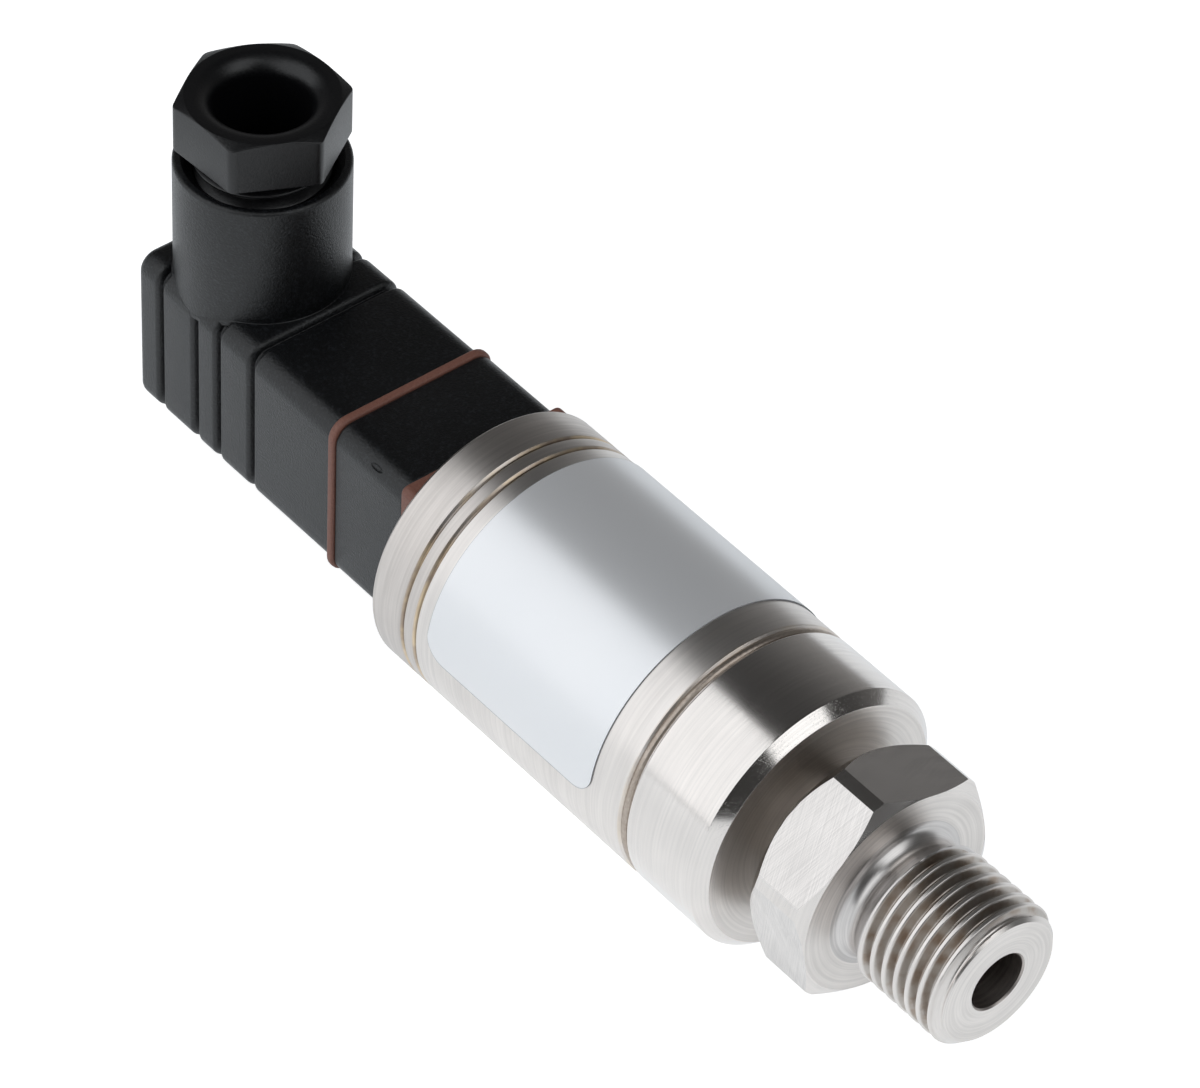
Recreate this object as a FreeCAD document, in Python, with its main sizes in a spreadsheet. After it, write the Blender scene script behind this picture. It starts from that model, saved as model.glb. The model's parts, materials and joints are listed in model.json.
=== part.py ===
"""Pressure sensor: a welded stainless body with a G1/4 process thread and a square plug connector.

The sensor's axis is X. The origin is on that axis, at the hexagon's sealing face. The process
thread points to +X, the connector is at -X and the cable gland of the connector points to +Z.
Each turned or moulded piece is drawn in a frame of its own, whose x runs from the piece's front
towards the connector, and is then placed at its station behind the sealing face. Millimetres.
"""
import FreeCAD, Part
import Sketcher
import math
import os

Vector = FreeCAD.Vector
Rotation = FreeCAD.Rotation

document = FreeCAD.newDocument("PressureSensor")
sheet = document.addObject("Spreadsheet::Sheet", "Sheet")


class Size:
    """A size with its value and the formula that ties it to the sheet."""

    def __init__(self, value, text):
        self.value = value
        self.text = text

    def __add__(self, other):
        other = as_size(other)
        return Size(self.value + other.value, f"({self.text} + {other.text})")

    def __sub__(self, other):
        other = as_size(other)
        return Size(self.value - other.value, f"({self.text} - {other.text})")

    def __mul__(self, factor):
        factor = as_size(factor)
        return Size(self.value * factor.value, f"({self.text} * {factor.text})")

    def __truediv__(self, divisor):
        divisor = as_size(divisor)
        return Size(self.value / divisor.value, f"({self.text} / {divisor.text})")

    def __neg__(self):
        return Size(-self.value, f"(-1 * {self.text})")


def as_size(value):
    """A plain number as a Size."""
    return value if isinstance(value, Size) else Size(float(value), repr(float(value)))


sheet_rows = 0


def size(alias, value, meaning):
    """Enter one driving dimension in the sheet."""
    global sheet_rows
    sheet_rows += 1
    sheet.set(f"A{sheet_rows}", meaning)
    sheet.set(f"B{sheet_rows}", str(value))
    sheet.setAlias(f"B{sheet_rows}", alias)
    return Size(float(value), f"Sheet.{alias}")


# Clearances
fit_gap = size("fit_gap", 0.05, "radial gap of located and screwed pieces")
film_gap = size("film_gap", 0.02, "adhesive under the label")
drop_in_gap = size("drop_in_gap", 0.1, "gap around moulded pieces that drop in")

# Process thread and hexagon
thread_dia = size("thread_dia", 13.157, "G1/4 thread, over the crests")
thread_len = size("thread_len", 12, "sealing face to thread end")
end_chamfer = size("end_chamfer", 0.6, "chamfer at the thread end")
undercut_len = size("undercut_len", 2.3, "undercut between sealing face and thread")
neck_depth = size("neck_depth", 0.98, "undercut below the thread crests")
neck_fillet = size("neck_fillet", 1.3, "fillet from neck to sealing face")
port_bore = size("port_bore", 5.3, "pressure inlet bore")
hex_flats = size("hex_flats", 19, "hexagon across flats")
hex_land_step = size("hex_land_step", 1.15, "turned lands on the hexagon's corners above its flats")
hex_len = size("hex_len", 6.5, "sealing face to the hexagon's back edge")
hex_turn = size("hex_turn", 18.2, "turn of the hexagon about the axis, degrees")
collar_gap = size("collar_gap", 2.7, "hexagon's back edge to the body's front face")
waist_dia = size("waist_dia", 10, "waist behind the hexagon")

# Welded body
body_dia = size("body_dia", 25, "body diameter")
front_chamfer = size("front_chamfer", 1, "polished chamfer at the body's front")
front_len = size("front_len", 9.4, "body front to the front weld")
weld_width = size("weld_width", 1.1, "front weld groove")
weld_depth = size("weld_depth", 0.3, "front weld groove depth")
spigot_len = size("spigot_len", 2.6, "port spigot inside the sleeve")
sleeve_len = size("sleeve_len", 26.7, "front weld to the first rear seam")
sleeve_wall = size("sleeve_wall", 1.2, "sleeve wall")
seam_width = size("seam_width", 0.5, "rear seam groove")
seam_depth = size("seam_depth", 0.2, "rear seam groove depth")
ring_len = size("ring_len", 1.6, "joint ring between the two rear seams")
lip_len = size("lip_len", 1.6, "joint ring's lip inside sleeve and cap")
lip_wall = size("lip_wall", 1.75, "joint ring's lip wall")
cap_len = size("cap_len", 4.2, "end cap length")
cap_web = size("cap_web", 2, "end cap web thickness")
cap_hole_margin = size("cap_hole_margin", 1.6, "end cap's wire opening beyond the flat pins' middle")
cap_rim = size("cap_rim", 0.3, "end cap's rear edge chamfer")

# Sensing cell and electronics
cell_dia = size("cell_dia", 14, "sensing cell diameter")
cell_len = size("cell_len", 6, "sensing cell length")
cell_seat = size("cell_seat", 4.6, "depth of the cell's seat in the port")
cell_bore = size("cell_bore", 9, "pressure chamber diameter")
diaphragm = size("diaphragm", 0.4, "diaphragm thickness")
gauge_dia = size("gauge_dia", 5, "strain gauge wafer diameter")
gauge_thick = size("gauge_thick", 0.25, "strain gauge wafer thickness")
gauge_lead_dia = size("gauge_lead_dia", 0.3, "gauge wire diameter")
gauge_lead_step = size("gauge_lead_step", 1.2, "gauge wires off the axis, each way")
carrier_len = size("carrier_len", 4.5, "board carrier length")
carrier_gap = size("carrier_gap", 1, "gap between board carrier and sensing cell")
board_gap = size("board_gap", 0.6, "circuit board to the sleeve")
board_thick = size("board_thick", 1.2, "circuit board thickness")
chip_length = size("chip_length", 5, "amplifier chip length")
chip_width = size("chip_width", 4, "amplifier chip width")
chip_height = size("chip_height", 1.7, "amplifier chip height")
capacitor_side = size("capacitor_side", 1.6, "capacitor width and height")
capacitor_len = size("capacitor_len", 2.4, "capacitor length")
lead_dia = size("lead_dia", 1.2, "insulated wire diameter")

# Label
label_thick = size("label_thick", 0.1, "label film")
label_start = size("label_start", 22.7, "sealing face to the label's front edge")
label_width = size("label_width", 20.9, "label width along the axis")
label_wrap = size("label_wrap", 240, "label's wrap around the body, degrees")
label_edge = size("label_edge", 181, "label's lower edge, degrees from +Y")

# Plug base and seals
gasket_thick = size("gasket_thick", 1.2, "seal between plug base and socket")
base_gasket_thick = size("base_gasket_thick", 1.8, "seal between end cap and plug base")
gasket_proud = size("gasket_proud", 0.4, "flat seals wider than the plug base")
base_step = size("base_step", 0.4, "plug base wider than the cable socket")
shell_shift = size("shell_shift", 0.35, "square connector shells off the axis to +Y")
shell_rise = size("shell_rise", 0.3, "square connector shells off the axis to +Z")
base_len = size("base_len", 8.6, "plug base length")
base_spigot = size("base_spigot", 1.8, "plug base spigot in the end cap")
square_corner = size("square_corner", 1.8, "long edges of base, seals and socket")
blade_width = size("blade_width", 2.8, "flat pin width")
blade_thick = size("blade_thick", 0.5, "flat pin thickness")
blade_reach = size("blade_reach", 7.6, "flat pins beyond the plug base")
blade_tail = size("blade_tail", 2.5, "flat pins behind the plug base spigot")
blade_inset = size("blade_inset", 2.1, "flat pins' middle to the socket's chamber wall")
insert_dia = size("insert_dia", 4.2, "threaded insert diameter")
insert_len = size("insert_len", 6, "threaded insert length")
insert_sink = size("insert_sink", 0.3, "threaded insert below the plug face")
base_screw_dia = size("base_screw_dia", 2, "plug base screws")
base_screw_head = size("base_screw_head", 3.6, "plug base screw head diameter")
base_screw_head_len = size("base_screw_head_len", 1.4, "plug base screw head height")
base_screw_inset = size("base_screw_inset", 2.9, "plug base screws to the sides of the base")
base_screw_floor = size("base_screw_floor", 3.4, "plug base thickness under the screw heads")
head_gap = size("head_gap", 0.2, "gap around screw heads")

# Cable socket
socket_side = size("socket_side", 16.15, "cable socket, outside")
socket_len = size("socket_len", 27.2, "cable socket length")
socket_wall = size("socket_wall", 1.6, "cable socket walls")
socket_end_edge = size("socket_end_edge", 1, "rounding of the socket's rear edges")
groove_width = size("groove_width", 0.5, "grip grooves")
groove_depth = size("groove_depth", 0.45, "grip groove depth")
groove_one = size("groove_one", 3.35, "first grip groove to the rear end")
groove_two = size("groove_two", 8.3, "second grip groove to the rear end")
groove_three = size("groove_three", 11.45, "third grip groove to the rear end")
groove_four = size("groove_four", 16.2, "fourth grip groove to the rear end")
boss_dia = size("boss_dia", 7.8, "boss around the fixing screw")
boss_len = size("boss_len", 5.2, "boss length from the rear end")
screw_dia = size("screw_dia", 2.5, "fixing screw")
screw_head_dia = size("screw_head_dia", 4.6, "fixing screw head diameter")
screw_head_len = size("screw_head_len", 2, "fixing screw head height")
screw_sink = size("screw_sink", 0.4, "fixing screw head below the rear end")
screw_slot = size("screw_slot", 0.6, "fixing screw slot width")
screw_slot_depth = size("screw_slot_depth", 0.8, "fixing screw slot depth")
screw_reach = size("screw_reach", 4.5, "fixing screw beyond the plug face")
washer_thick = size("washer_thick", 1, "sealing washer under the head")
terminal_len = size("terminal_len", 10.4, "terminal insert length")
terminal_face = size("terminal_face", 0.6, "terminal insert wall in front of the contacts")
contact_width = size("contact_width", 3.6, "contact sockets, across the pin")
contact_thick = size("contact_thick", 1.8, "contact sockets, thickness")
contact_len = size("contact_len", 12.4, "contact sockets, length")
contact_slot_gap = size("contact_slot_gap", 0.1, "gap around a pin in its contact")
contact_slot_len = size("contact_slot_len", 8.4, "contact slot depth")
wire_hole = size("wire_hole", 1.2, "wire hole in the contacts")
wire_hole_len = size("wire_hole_len", 3, "wire hole depth")
clamp_screw_dia = size("clamp_screw_dia", 1.2, "terminal screws")
clamp_screw_head = size("clamp_screw_head", 2, "terminal screw head diameter")
clamp_screw_head_len = size("clamp_screw_head_len", 0.6, "terminal screw head height")
clamp_screw_len = size("clamp_screw_len", 0.6, "terminal screw in its contact")
clamp_screw_back = size("clamp_screw_back", 1.3, "terminal screws to the contacts' rear end")

# Cable gland
tube_wall = size("tube_wall", 1.65, "gland tube wall")
tube_inset = size("tube_inset", 0.05, "gland tube to the rear end")
tube_height = size("tube_height", 12.4, "gland tube's rim above the socket")
tube_edge = size("tube_edge", 0.4, "rounding of the tube's rim")
gland_thread = size("gland_thread", 12, "gland thread in the tube")
gland_lead_in = size("gland_lead_in", 0.95, "lead-in chamfer of the gland thread")
seat_floor = size("seat_floor", 2.1, "gland seal's seat above the wiring chamber")
gland_flats_step = size("gland_flats_step", 1.35, "gland screw across flats, wider than its thread")
gland_head = size("gland_head", 5, "gland screw head height")
gland_stand = size("gland_stand", 1.7, "gland screw head above the tube's rim")
gland_screw_len = size("gland_screw_len", 7.8, "gland screw's threaded length")
gland_wall = size("gland_wall", 1.8, "gland screw wall")
gland_mouth = size("gland_mouth", 1.6, "rounding of the gland screw's mouth")
gland_turn = size("gland_turn", 2.4, "turn of the gland screw at rest, degrees")
gland_edge = size("gland_edge", 0.75, "rounding of the gland screw's corners")
gland_bevel = size("gland_bevel", 0.15, "start of the gland screw's top bevel, inside its flats")
slip_thick = size("slip_thick", 0.8, "slip washer thickness")
cable_hole_step = size("cable_hole_step", 0.5, "cable hole below the seal inside the screw bore")
slip_step = size("slip_step", 0.6, "slip washer inside the screw bore")
seal_step = size("seal_step", 1, "gland seal inside the screw bore")

document.recompute()

# Stations along the axis, behind the sealing face
body_front = hex_len + collar_gap
front_seam = body_front + front_len
first_rear_seam = front_seam + sleeve_len
second_rear_seam = first_rear_seam + ring_len
body_rear = second_rear_seam + cap_len
base_front = body_rear + base_gasket_thick
plug_face = base_front + base_len
socket_front = plug_face + gasket_thick
socket_rear = socket_front + socket_len
spigot_end = front_seam + spigot_len
cell_front = spigot_end - cell_seat
cell_rear = cell_front + cell_len
gauge_rear = cell_rear + gauge_thick
board_front = spigot_end + carrier_len
board_rear = board_front + board_thick
base_spigot_front = body_rear - base_spigot
blade_front = base_spigot_front - blade_tail
insert_rear = plug_face - insert_sink
screw_seat = socket_rear - screw_sink - screw_head_len - washer_thick
contact_front = socket_front + terminal_face

# Square connector shells and the pins in them
base_side = socket_side + base_step
gasket_side = base_side + gasket_proud
chamber_half = socket_side / 2 - socket_wall
blade_offset = chamber_half - blade_inset
base_screw_offset = base_side / 2 - base_screw_inset
cap_hole = (blade_offset + cap_hole_margin) * 2
shell_centre = (-shell_shift, shell_rise)

# Cable gland, with levels above the sensor axis
tube_dia = gland_thread + tube_wall * 2
tube_back = tube_dia / 2 + tube_inset
tube_station = socket_rear - tube_back
tube_top = socket_side / 2 + tube_height
gland_seat = chamber_half + seat_floor
gland_flats = gland_thread + gland_flats_step
gland_bore = gland_thread - gland_wall * 2
cable_hole = gland_bore - cable_hole_step * 2
slip_bore = gland_bore - slip_step * 2
seal_bore = gland_bore - seal_step * 2
gland_head_low = tube_top + gland_stand
slip_top = gland_head_low - gland_screw_len
seal_top = slip_top - slip_thick

# Radii that several pieces share
body_radius = body_dia / 2
sleeve_inner = body_radius - sleeve_wall
located_radius = sleeve_inner - fit_gap
board_radius = sleeve_inner - board_gap
cap_web_front = cap_len - cap_web

QUARTER_TURNS = 4
HEXAGON = 6
FULL_TURN = 360
CHAMFER_SLOPE = math.tan(math.radians(30))
ANGLE_TOLERANCE = 1e-6
PLACE_TOLERANCE = 1e-4
LENGTH_TOLERANCE = 1e-3
REAR_FACING = Rotation(Vector(0, 0, 1), 180)
ALONG_REAR = Rotation(Vector(0, 1, 0), -90)

sub_parts = []


def bind(thing, name, value):
    """Tie one property to the sheet."""
    thing.setExpression(name, as_size(value).text)


def origin_feature(body, role):
    """One of the body's own base planes or axes."""
    return next(item for item in body.Origin.OriginFeatures if item.Role == role)


def new_body(label, station):
    """A body whose x axis points to the rear, placed behind the sealing face."""
    body = document.addObject("PartDesign::Body", label)
    body.Label = label
    body.Placement = FreeCAD.Placement(Vector(0, 0, 0), REAR_FACING)
    bind(body, "Placement.Base.x", -station)
    sub_parts.append(body)
    return body


def new_upright_body(label, level):
    """A body on the gland's axis, with z up, placed at a level above the sensor axis."""
    body = document.addObject("PartDesign::Body", label)
    body.Label = label
    bind(body, "Placement.Base.x", -tube_station)
    bind(body, "Placement.Base.z", level)
    sub_parts.append(body)
    return body


def new_sketch(body, name, role, offset=None, turn=None):
    """A sketch on one of the body's base planes, moved along and turned about its normal."""
    sketch = body.newObject("Sketcher::SketchObject", name)
    sketch.AttachmentSupport = [(origin_feature(body, role), "")]
    sketch.MapMode = "FlatFace"
    if turn is not None:
        sketch.AttachmentOffset = FreeCAD.Placement(Vector(0, 0, 0), Rotation(Vector(0, 0, 1), turn.value))
        bind(sketch, "AttachmentOffset.Rotation.Angle", turn)
    if offset is not None:
        bind(sketch, "AttachmentOffset.Base.z", offset)
    return sketch


def draw_outline(sketch, corners):
    """Draw a closed outline and tie each corner to its (x, y) sizes."""
    corners = [(as_size(x), as_size(y)) for x, y in corners]
    points = [Vector(x.value, y.value, 0) for x, y in corners]
    first = sketch.GeometryCount
    for start, end in zip(points, points[1:] + points[:1]):
        sketch.addGeometry(Part.LineSegment(start, end))
    for index in range(len(points)):
        following = (index + 1) % len(points)
        sketch.addConstraint(Sketcher.Constraint("Coincident", first + index, 2, first + following, 1))
    for index, (x, y) in enumerate(corners):
        for kind, value in (("DistanceX", x), ("DistanceY", y)):
            number = sketch.addConstraint(Sketcher.Constraint(kind, -1, 1, first + index, 1, value.value))
            bind(sketch, f"Constraints[{number}]", value)


def draw_rectangle(sketch, width, height, centre=(0, 0)):
    """Draw a rectangle about a centre."""
    x, y = (as_size(value) for value in centre)
    left, right = x - width / 2, x + width / 2
    low, high = y - height / 2, y + height / 2
    draw_outline(sketch, [(left, low), (right, low), (right, high), (left, high)])


def draw_circle(sketch, diameter, centre=(0, 0)):
    """Draw a circle about a centre."""
    x, y = (as_size(value) for value in centre)
    middle = Vector(x.value, y.value, 0)
    index = sketch.addGeometry(Part.Circle(middle, Vector(0, 0, 1), diameter.value / 2))
    for kind, value in (("DistanceX", x), ("DistanceY", y)):
        number = sketch.addConstraint(Sketcher.Constraint(kind, -1, 1, index, 3, value.value))
        bind(sketch, f"Constraints[{number}]", value)
    number = sketch.addConstraint(Sketcher.Constraint("Diameter", index, diameter.value))
    bind(sketch, f"Constraints[{number}]", diameter)


def revolve(body, name, corners, angle=FULL_TURN):
    """Turn an outline of (station, radius) corners about the body's x axis."""
    sketch = new_sketch(body, name + "_outline", "XY_Plane")
    draw_outline(sketch, corners)
    feature = body.newObject("PartDesign::Revolution", name)
    feature.Profile = sketch
    feature.ReferenceAxis = (sketch, ["H_Axis"])
    bind(feature, "Angle", angle)
    document.recompute()
    return feature


def pad(body, sketch, name, length):
    """Raise a sketch along its normal."""
    feature = body.newObject("PartDesign::Pad", name)
    feature.Profile = sketch
    bind(feature, "Length", length)
    document.recompute()
    return feature


def cut(body, sketch, name, depth, along_normal=True):
    """Cut a sketch into the body, along its normal or against it."""
    before = body.Shape.Volume
    feature = body.newObject("PartDesign::Pocket", name)
    feature.Profile = sketch
    feature.Reversed = along_normal
    bind(feature, "Length", depth)
    document.recompute()
    if not body.Shape.Volume < before:
        raise RuntimeError(f"{name} cuts nothing from {body.Label}")
    return feature


def cut_round(body, name, corners):
    """Cut an outline of (radius, level) corners right round an upright body's axis."""
    before = body.Shape.Volume
    sketch = new_sketch(body, name + "_outline", "XZ_Plane")
    draw_outline(sketch, corners)
    feature = body.newObject("PartDesign::Groove", name)
    feature.Profile = sketch
    feature.ReferenceAxis = (sketch, ["V_Axis"])
    feature.Angle = FULL_TURN
    document.recompute()
    if not body.Shape.Volume < before:
        raise RuntimeError(f"{name} cuts nothing from {body.Label}")


def repeat_round(body, feature, name, count, role="X_Axis"):
    """Repeat a feature round one of the body's axes."""
    pattern = body.newObject("PartDesign::PolarPattern", name)
    pattern.Originals = [feature]
    pattern.Axis = (origin_feature(body, role), [""])
    pattern.Angle = FULL_TURN
    pattern.Occurrences = count
    body.Tip = pattern
    document.recompute()
    return pattern


def dress_edges(body, kind, name, setting, amount, wanted):
    """Round or chamfer the edges of the body's last feature that the test picks."""
    base = body.Tip
    edges = [f"Edge{index}" for index, edge in enumerate(base.Shape.Edges, 1) if wanted(edge)]
    if not edges:
        raise RuntimeError(f"{name} finds no edge on {body.Label}")
    feature = body.newObject(kind, name)
    feature.Base = (base, edges)
    bind(feature, setting, amount)
    document.recompute()


def fillet(body, name, radius, wanted):
    """Round the edges that the test picks."""
    dress_edges(body, "PartDesign::Fillet", name, "Radius", radius, wanted)


def chamfer(body, name, width, wanted):
    """Chamfer the edges that the test picks."""
    dress_edges(body, "PartDesign::Chamfer", name, "Size", width, wanted)


def runs_along(edge, axis):
    """Whether an edge is straight and parallel to an axis of the body."""
    if not isinstance(edge.Curve, Part.Line):
        return False
    return abs(abs(edge.Curve.Direction.dot(axis)) - 1) < ANGLE_TOLERANCE


def lies_at(edge, axis, value):
    """Whether a whole edge lies at one value along an axis of the body."""
    points = [vertex.Point for vertex in edge.Vertexes] + [edge.CenterOfMass]
    return all(abs(point.dot(axis) - value) < PLACE_TOLERANCE for point in points)


def is_circle(edge, radius):
    """Whether an edge is as long as a full circle of this radius."""
    return abs(edge.Length - 2 * math.pi * radius) < LENGTH_TOLERANCE


X_DIRECTION = Vector(1, 0, 0)
Z_DIRECTION = Vector(0, 0, 1)


def square_pad(body, name, side, length, offset=None):
    """A square prism about the axis with rounded long edges."""
    sketch = new_sketch(body, name + "_square", "YZ_Plane", offset)
    draw_rectangle(sketch, side, side, shell_centre)
    pad(body, sketch, name, length)
    fillet(body, name + "_corners", square_corner, lambda edge: runs_along(edge, X_DIRECTION))


def cut_circle(body, name, diameter, depth, offset=None, centres=((0, 0),)):
    """Round holes along the axis, towards the rear."""
    sketch = new_sketch(body, name + "_circle", "YZ_Plane", offset)
    for centre in centres:
        draw_circle(sketch, diameter, centre)
    return cut(body, sketch, name, depth)


def cut_blade_slots(body, name, width, thick, depth, offset=None):
    """One slot for each flat pin, round the axis."""
    sketch = new_sketch(body, name + "_slot", "YZ_Plane", offset)
    draw_rectangle(sketch, width, thick, (0, blade_offset))
    slot = cut(body, sketch, name, depth)
    repeat_round(body, slot, name + "_round", QUARTER_TURNS)


def place_along(thing, station, y=0, z=0):
    """Lay a primitive's z axis along the sensor axis, towards the rear."""
    thing.Placement = FreeCAD.Placement(Vector(0, 0, 0), ALONG_REAR)
    bind(thing, "Placement.Base.x", -station)
    bind(thing, "Placement.Base.y", y)
    bind(thing, "Placement.Base.z", z)


def rod(name, diameter, start, end, y=0, z=0):
    """A round rod along the sensor axis between two stations."""
    cylinder = document.addObject("Part::Cylinder", name)
    bind(cylinder, "Radius", diameter / 2)
    bind(cylinder, "Height", end - start)
    place_along(cylinder, start, y, z)
    return cylinder


def block(name, start, end, width, height, y=0, z=0):
    """A rectangular block along the sensor axis between two stations, about (y, z)."""
    box = document.addObject("Part::Box", name)
    bind(box, "Length", end - start)
    bind(box, "Width", width)
    bind(box, "Height", height)
    bind(box, "Placement.Base.x", -end)
    bind(box, "Placement.Base.y", as_size(y) - width / 2)
    bind(box, "Placement.Base.z", as_size(z) - height / 2)
    return box


def combine(kind, label, pieces):
    """Join pieces in one sub-part, as a group or a fused solid."""
    group = document.addObject(kind, label)
    group.Label = label
    if kind == "Part::Compound":
        group.Links = pieces
    else:
        group.Shapes = pieces
    sub_parts.append(group)
    return group


def keep(thing, label):
    """List a single primitive as a sub-part."""
    thing.Label = label
    sub_parts.append(thing)


def diagonal(step):
    """The four places off the axis by one step each way."""
    return [(step * a, step * b) for a in (1, -1) for b in (1, -1)]


def screw_places():
    """The two opposite places of the plug base's screws, in the frame of a rear-facing body."""
    return [(base_screw_offset, base_screw_offset), (-base_screw_offset, -base_screw_offset)]


def cross(step):
    """The four places off the axis by one step along y or z, as a quarter-turn pattern."""
    return [(0, step), (-step, 0), (0, -step), (step, 0)]


def make_pressure_port():
    """Thread, hexagon and front of the body, turned from one bar, with milled flats."""
    body = new_body("pressure_port", -thread_len)
    thread_radius = thread_dia / 2
    neck_radius = thread_radius - neck_depth
    flat = hex_flats / 2
    land = flat + hex_land_step
    waist = waist_dia / 2
    bore = port_bore / 2
    face = thread_len
    hex_back = face + hex_len
    front = face + body_front
    seam = face + front_seam
    end = face + spigot_end
    revolve(body, "turned_port", [
        (0, bore),
        (0, thread_radius - end_chamfer),
        (end_chamfer, thread_radius),
        (face - undercut_len, thread_radius),
        (face - undercut_len + neck_depth, neck_radius),
        (face, neck_radius),
        (face, flat),
        (face + hex_land_step * CHAMFER_SLOPE, land),
        (hex_back - hex_land_step, land),
        (hex_back, flat),
        (hex_back, waist),
        (front, waist),
        (front, body_radius - front_chamfer),
        (front + front_chamfer, body_radius),
        (seam - weld_width / 2, body_radius),
        (seam, body_radius - weld_depth),
        (seam, located_radius),
        (end, located_radius),
        (end, cell_dia / 2 + fit_gap),
        (end - cell_seat, cell_dia / 2 + fit_gap),
        (end - cell_seat, bore),
    ])
    fillet(body, "neck_fillet_edge", neck_fillet, lambda edge: (
        lies_at(edge, X_DIRECTION, face.value) and is_circle(edge, neck_radius.value)))
    flat_sketch = new_sketch(body, "flat_outline", "YZ_Plane", face, hex_turn)
    overshoot = hex_flats / 4
    draw_rectangle(flat_sketch, hex_flats, overshoot, (0, flat + overshoot / 2))
    flat_cut = cut(body, flat_sketch, "milled_flat", hex_len)
    repeat_round(body, flat_cut, "six_flats", HEXAGON)


def make_housing_sleeve():
    """The tube between the front weld and the first rear seam."""
    body = new_body("housing_sleeve", front_seam)
    revolve(body, "sleeve", [
        (0, sleeve_inner),
        (0, body_radius - weld_depth),
        (weld_width / 2, body_radius),
        (sleeve_len - seam_width / 2, body_radius),
        (sleeve_len, body_radius - seam_depth),
        (sleeve_len, sleeve_inner),
    ])


def make_joint_ring():
    """The ring between the two rear seams, with a lip inside sleeve and cap."""
    body = new_body("joint_ring", first_rear_seam - lip_len)
    front = lip_len
    rear = lip_len + ring_len
    bore = located_radius - lip_wall
    revolve(body, "ring", [
        (0, bore),
        (0, located_radius),
        (front, located_radius),
        (front, body_radius - seam_depth),
        (front + seam_width / 2, body_radius),
        (rear - seam_width / 2, body_radius),
        (rear, body_radius - seam_depth),
        (rear, located_radius),
        (rear + lip_len, located_radius),
        (rear + lip_len, bore),
    ])


def make_end_cap():
    """The rear end of the metal body, with the wire opening and the base's screw holes."""
    body = new_body("end_cap", second_rear_seam)
    revolve(body, "cap", [
        (0, sleeve_inner),
        (0, body_radius - seam_depth),
        (seam_width / 2, body_radius),
        (cap_len - cap_rim, body_radius),
        (cap_len, body_radius - cap_rim),
        (cap_len, cap_hole / 2),
        (cap_web_front, cap_hole / 2),
        (cap_web_front, sleeve_inner),
    ])
    cut_circle(body, "screw_holes", base_screw_dia + fit_gap * 2, cap_web, cap_web_front, screw_places())


def make_type_label():
    """The film label, which starts low on the -Y side and wraps up over the top of the sleeve."""
    body = new_body("type_label", label_start)
    inner = body_radius + film_gap
    revolve(body, "film", [
        (0, inner),
        (0, inner + label_thick),
        (label_width, inner + label_thick),
        (label_width, inner),
    ], label_wrap)
    lower_edge = Rotation(X_DIRECTION, 180 - label_edge.value)
    body.Placement = FreeCAD.Placement(Vector(0, 0, 0), REAR_FACING.multiply(lower_edge))


def make_sensing_cell():
    """The stainless cup whose end wall is the pressure diaphragm."""
    body = new_body("sensing_cell", cell_front)
    revolve(body, "cell", [
        (0, cell_bore / 2),
        (0, cell_dia / 2),
        (cell_len, cell_dia / 2),
        (cell_len, 0),
        (cell_len - diaphragm, 0),
        (cell_len - diaphragm, cell_bore / 2),
    ])


def make_electronics():
    """Strain gauge, board with its parts, carrier ring and wires."""
    keep(rod("gauge", gauge_dia, cell_rear, gauge_rear), "strain_gauge")
    wires = [rod(f"gauge_wire_{index}", gauge_lead_dia, gauge_rear, board_front, y, z)
             for index, (y, z) in enumerate(diagonal(gauge_lead_step))]
    combine("Part::Compound", "gauge_leads", wires)
    body = new_body("board_carrier", spigot_end)
    bore = cell_dia / 2 + carrier_gap
    revolve(body, "carrier", [
        (0, bore),
        (0, located_radius),
        (carrier_len, located_radius),
        (carrier_len, bore),
    ])
    keep(rod("board", board_radius * 2, board_front, board_rear), "signal_board")
    keep(block("chip", board_rear, board_rear + chip_height, chip_length, chip_width), "amplifier_chip")
    capacitors = [block(f"capacitor_{index}", board_rear, board_rear + capacitor_side,
                        capacitor_len, capacitor_side, y, z)
                  for index, (y, z) in enumerate(diagonal(board_radius / 2))]
    combine("Part::Compound", "board_capacitors", capacitors)
    leads = [rod(f"lead_{index}", lead_dia, board_rear, blade_front, y, z)
             for index, (y, z) in enumerate(cross(blade_offset))]
    combine("Part::Compound", "pin_leads", leads)


def make_base_gasket():
    """The flat seal between end cap and plug base, a little proud of the base."""
    body = new_body("base_gasket", body_rear)
    square_pad(body, "seal", gasket_side, base_gasket_thick)
    cut_circle(body, "spigot_hole", cap_hole, base_gasket_thick)
    cut_circle(body, "screw_holes", base_screw_dia + head_gap, base_gasket_thick, centres=screw_places())


def make_interface_gasket():
    """The flat seal between plug base and cable socket, a little proud of both."""
    body = new_body("interface_gasket", plug_face)
    square_pad(body, "seal", gasket_side, gasket_thick)
    cut_circle(body, "screw_hole", insert_dia, gasket_thick)
    cut_blade_slots(body, "pin_slots", blade_width + head_gap * 2, blade_thick + head_gap * 2, gasket_thick)


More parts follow.
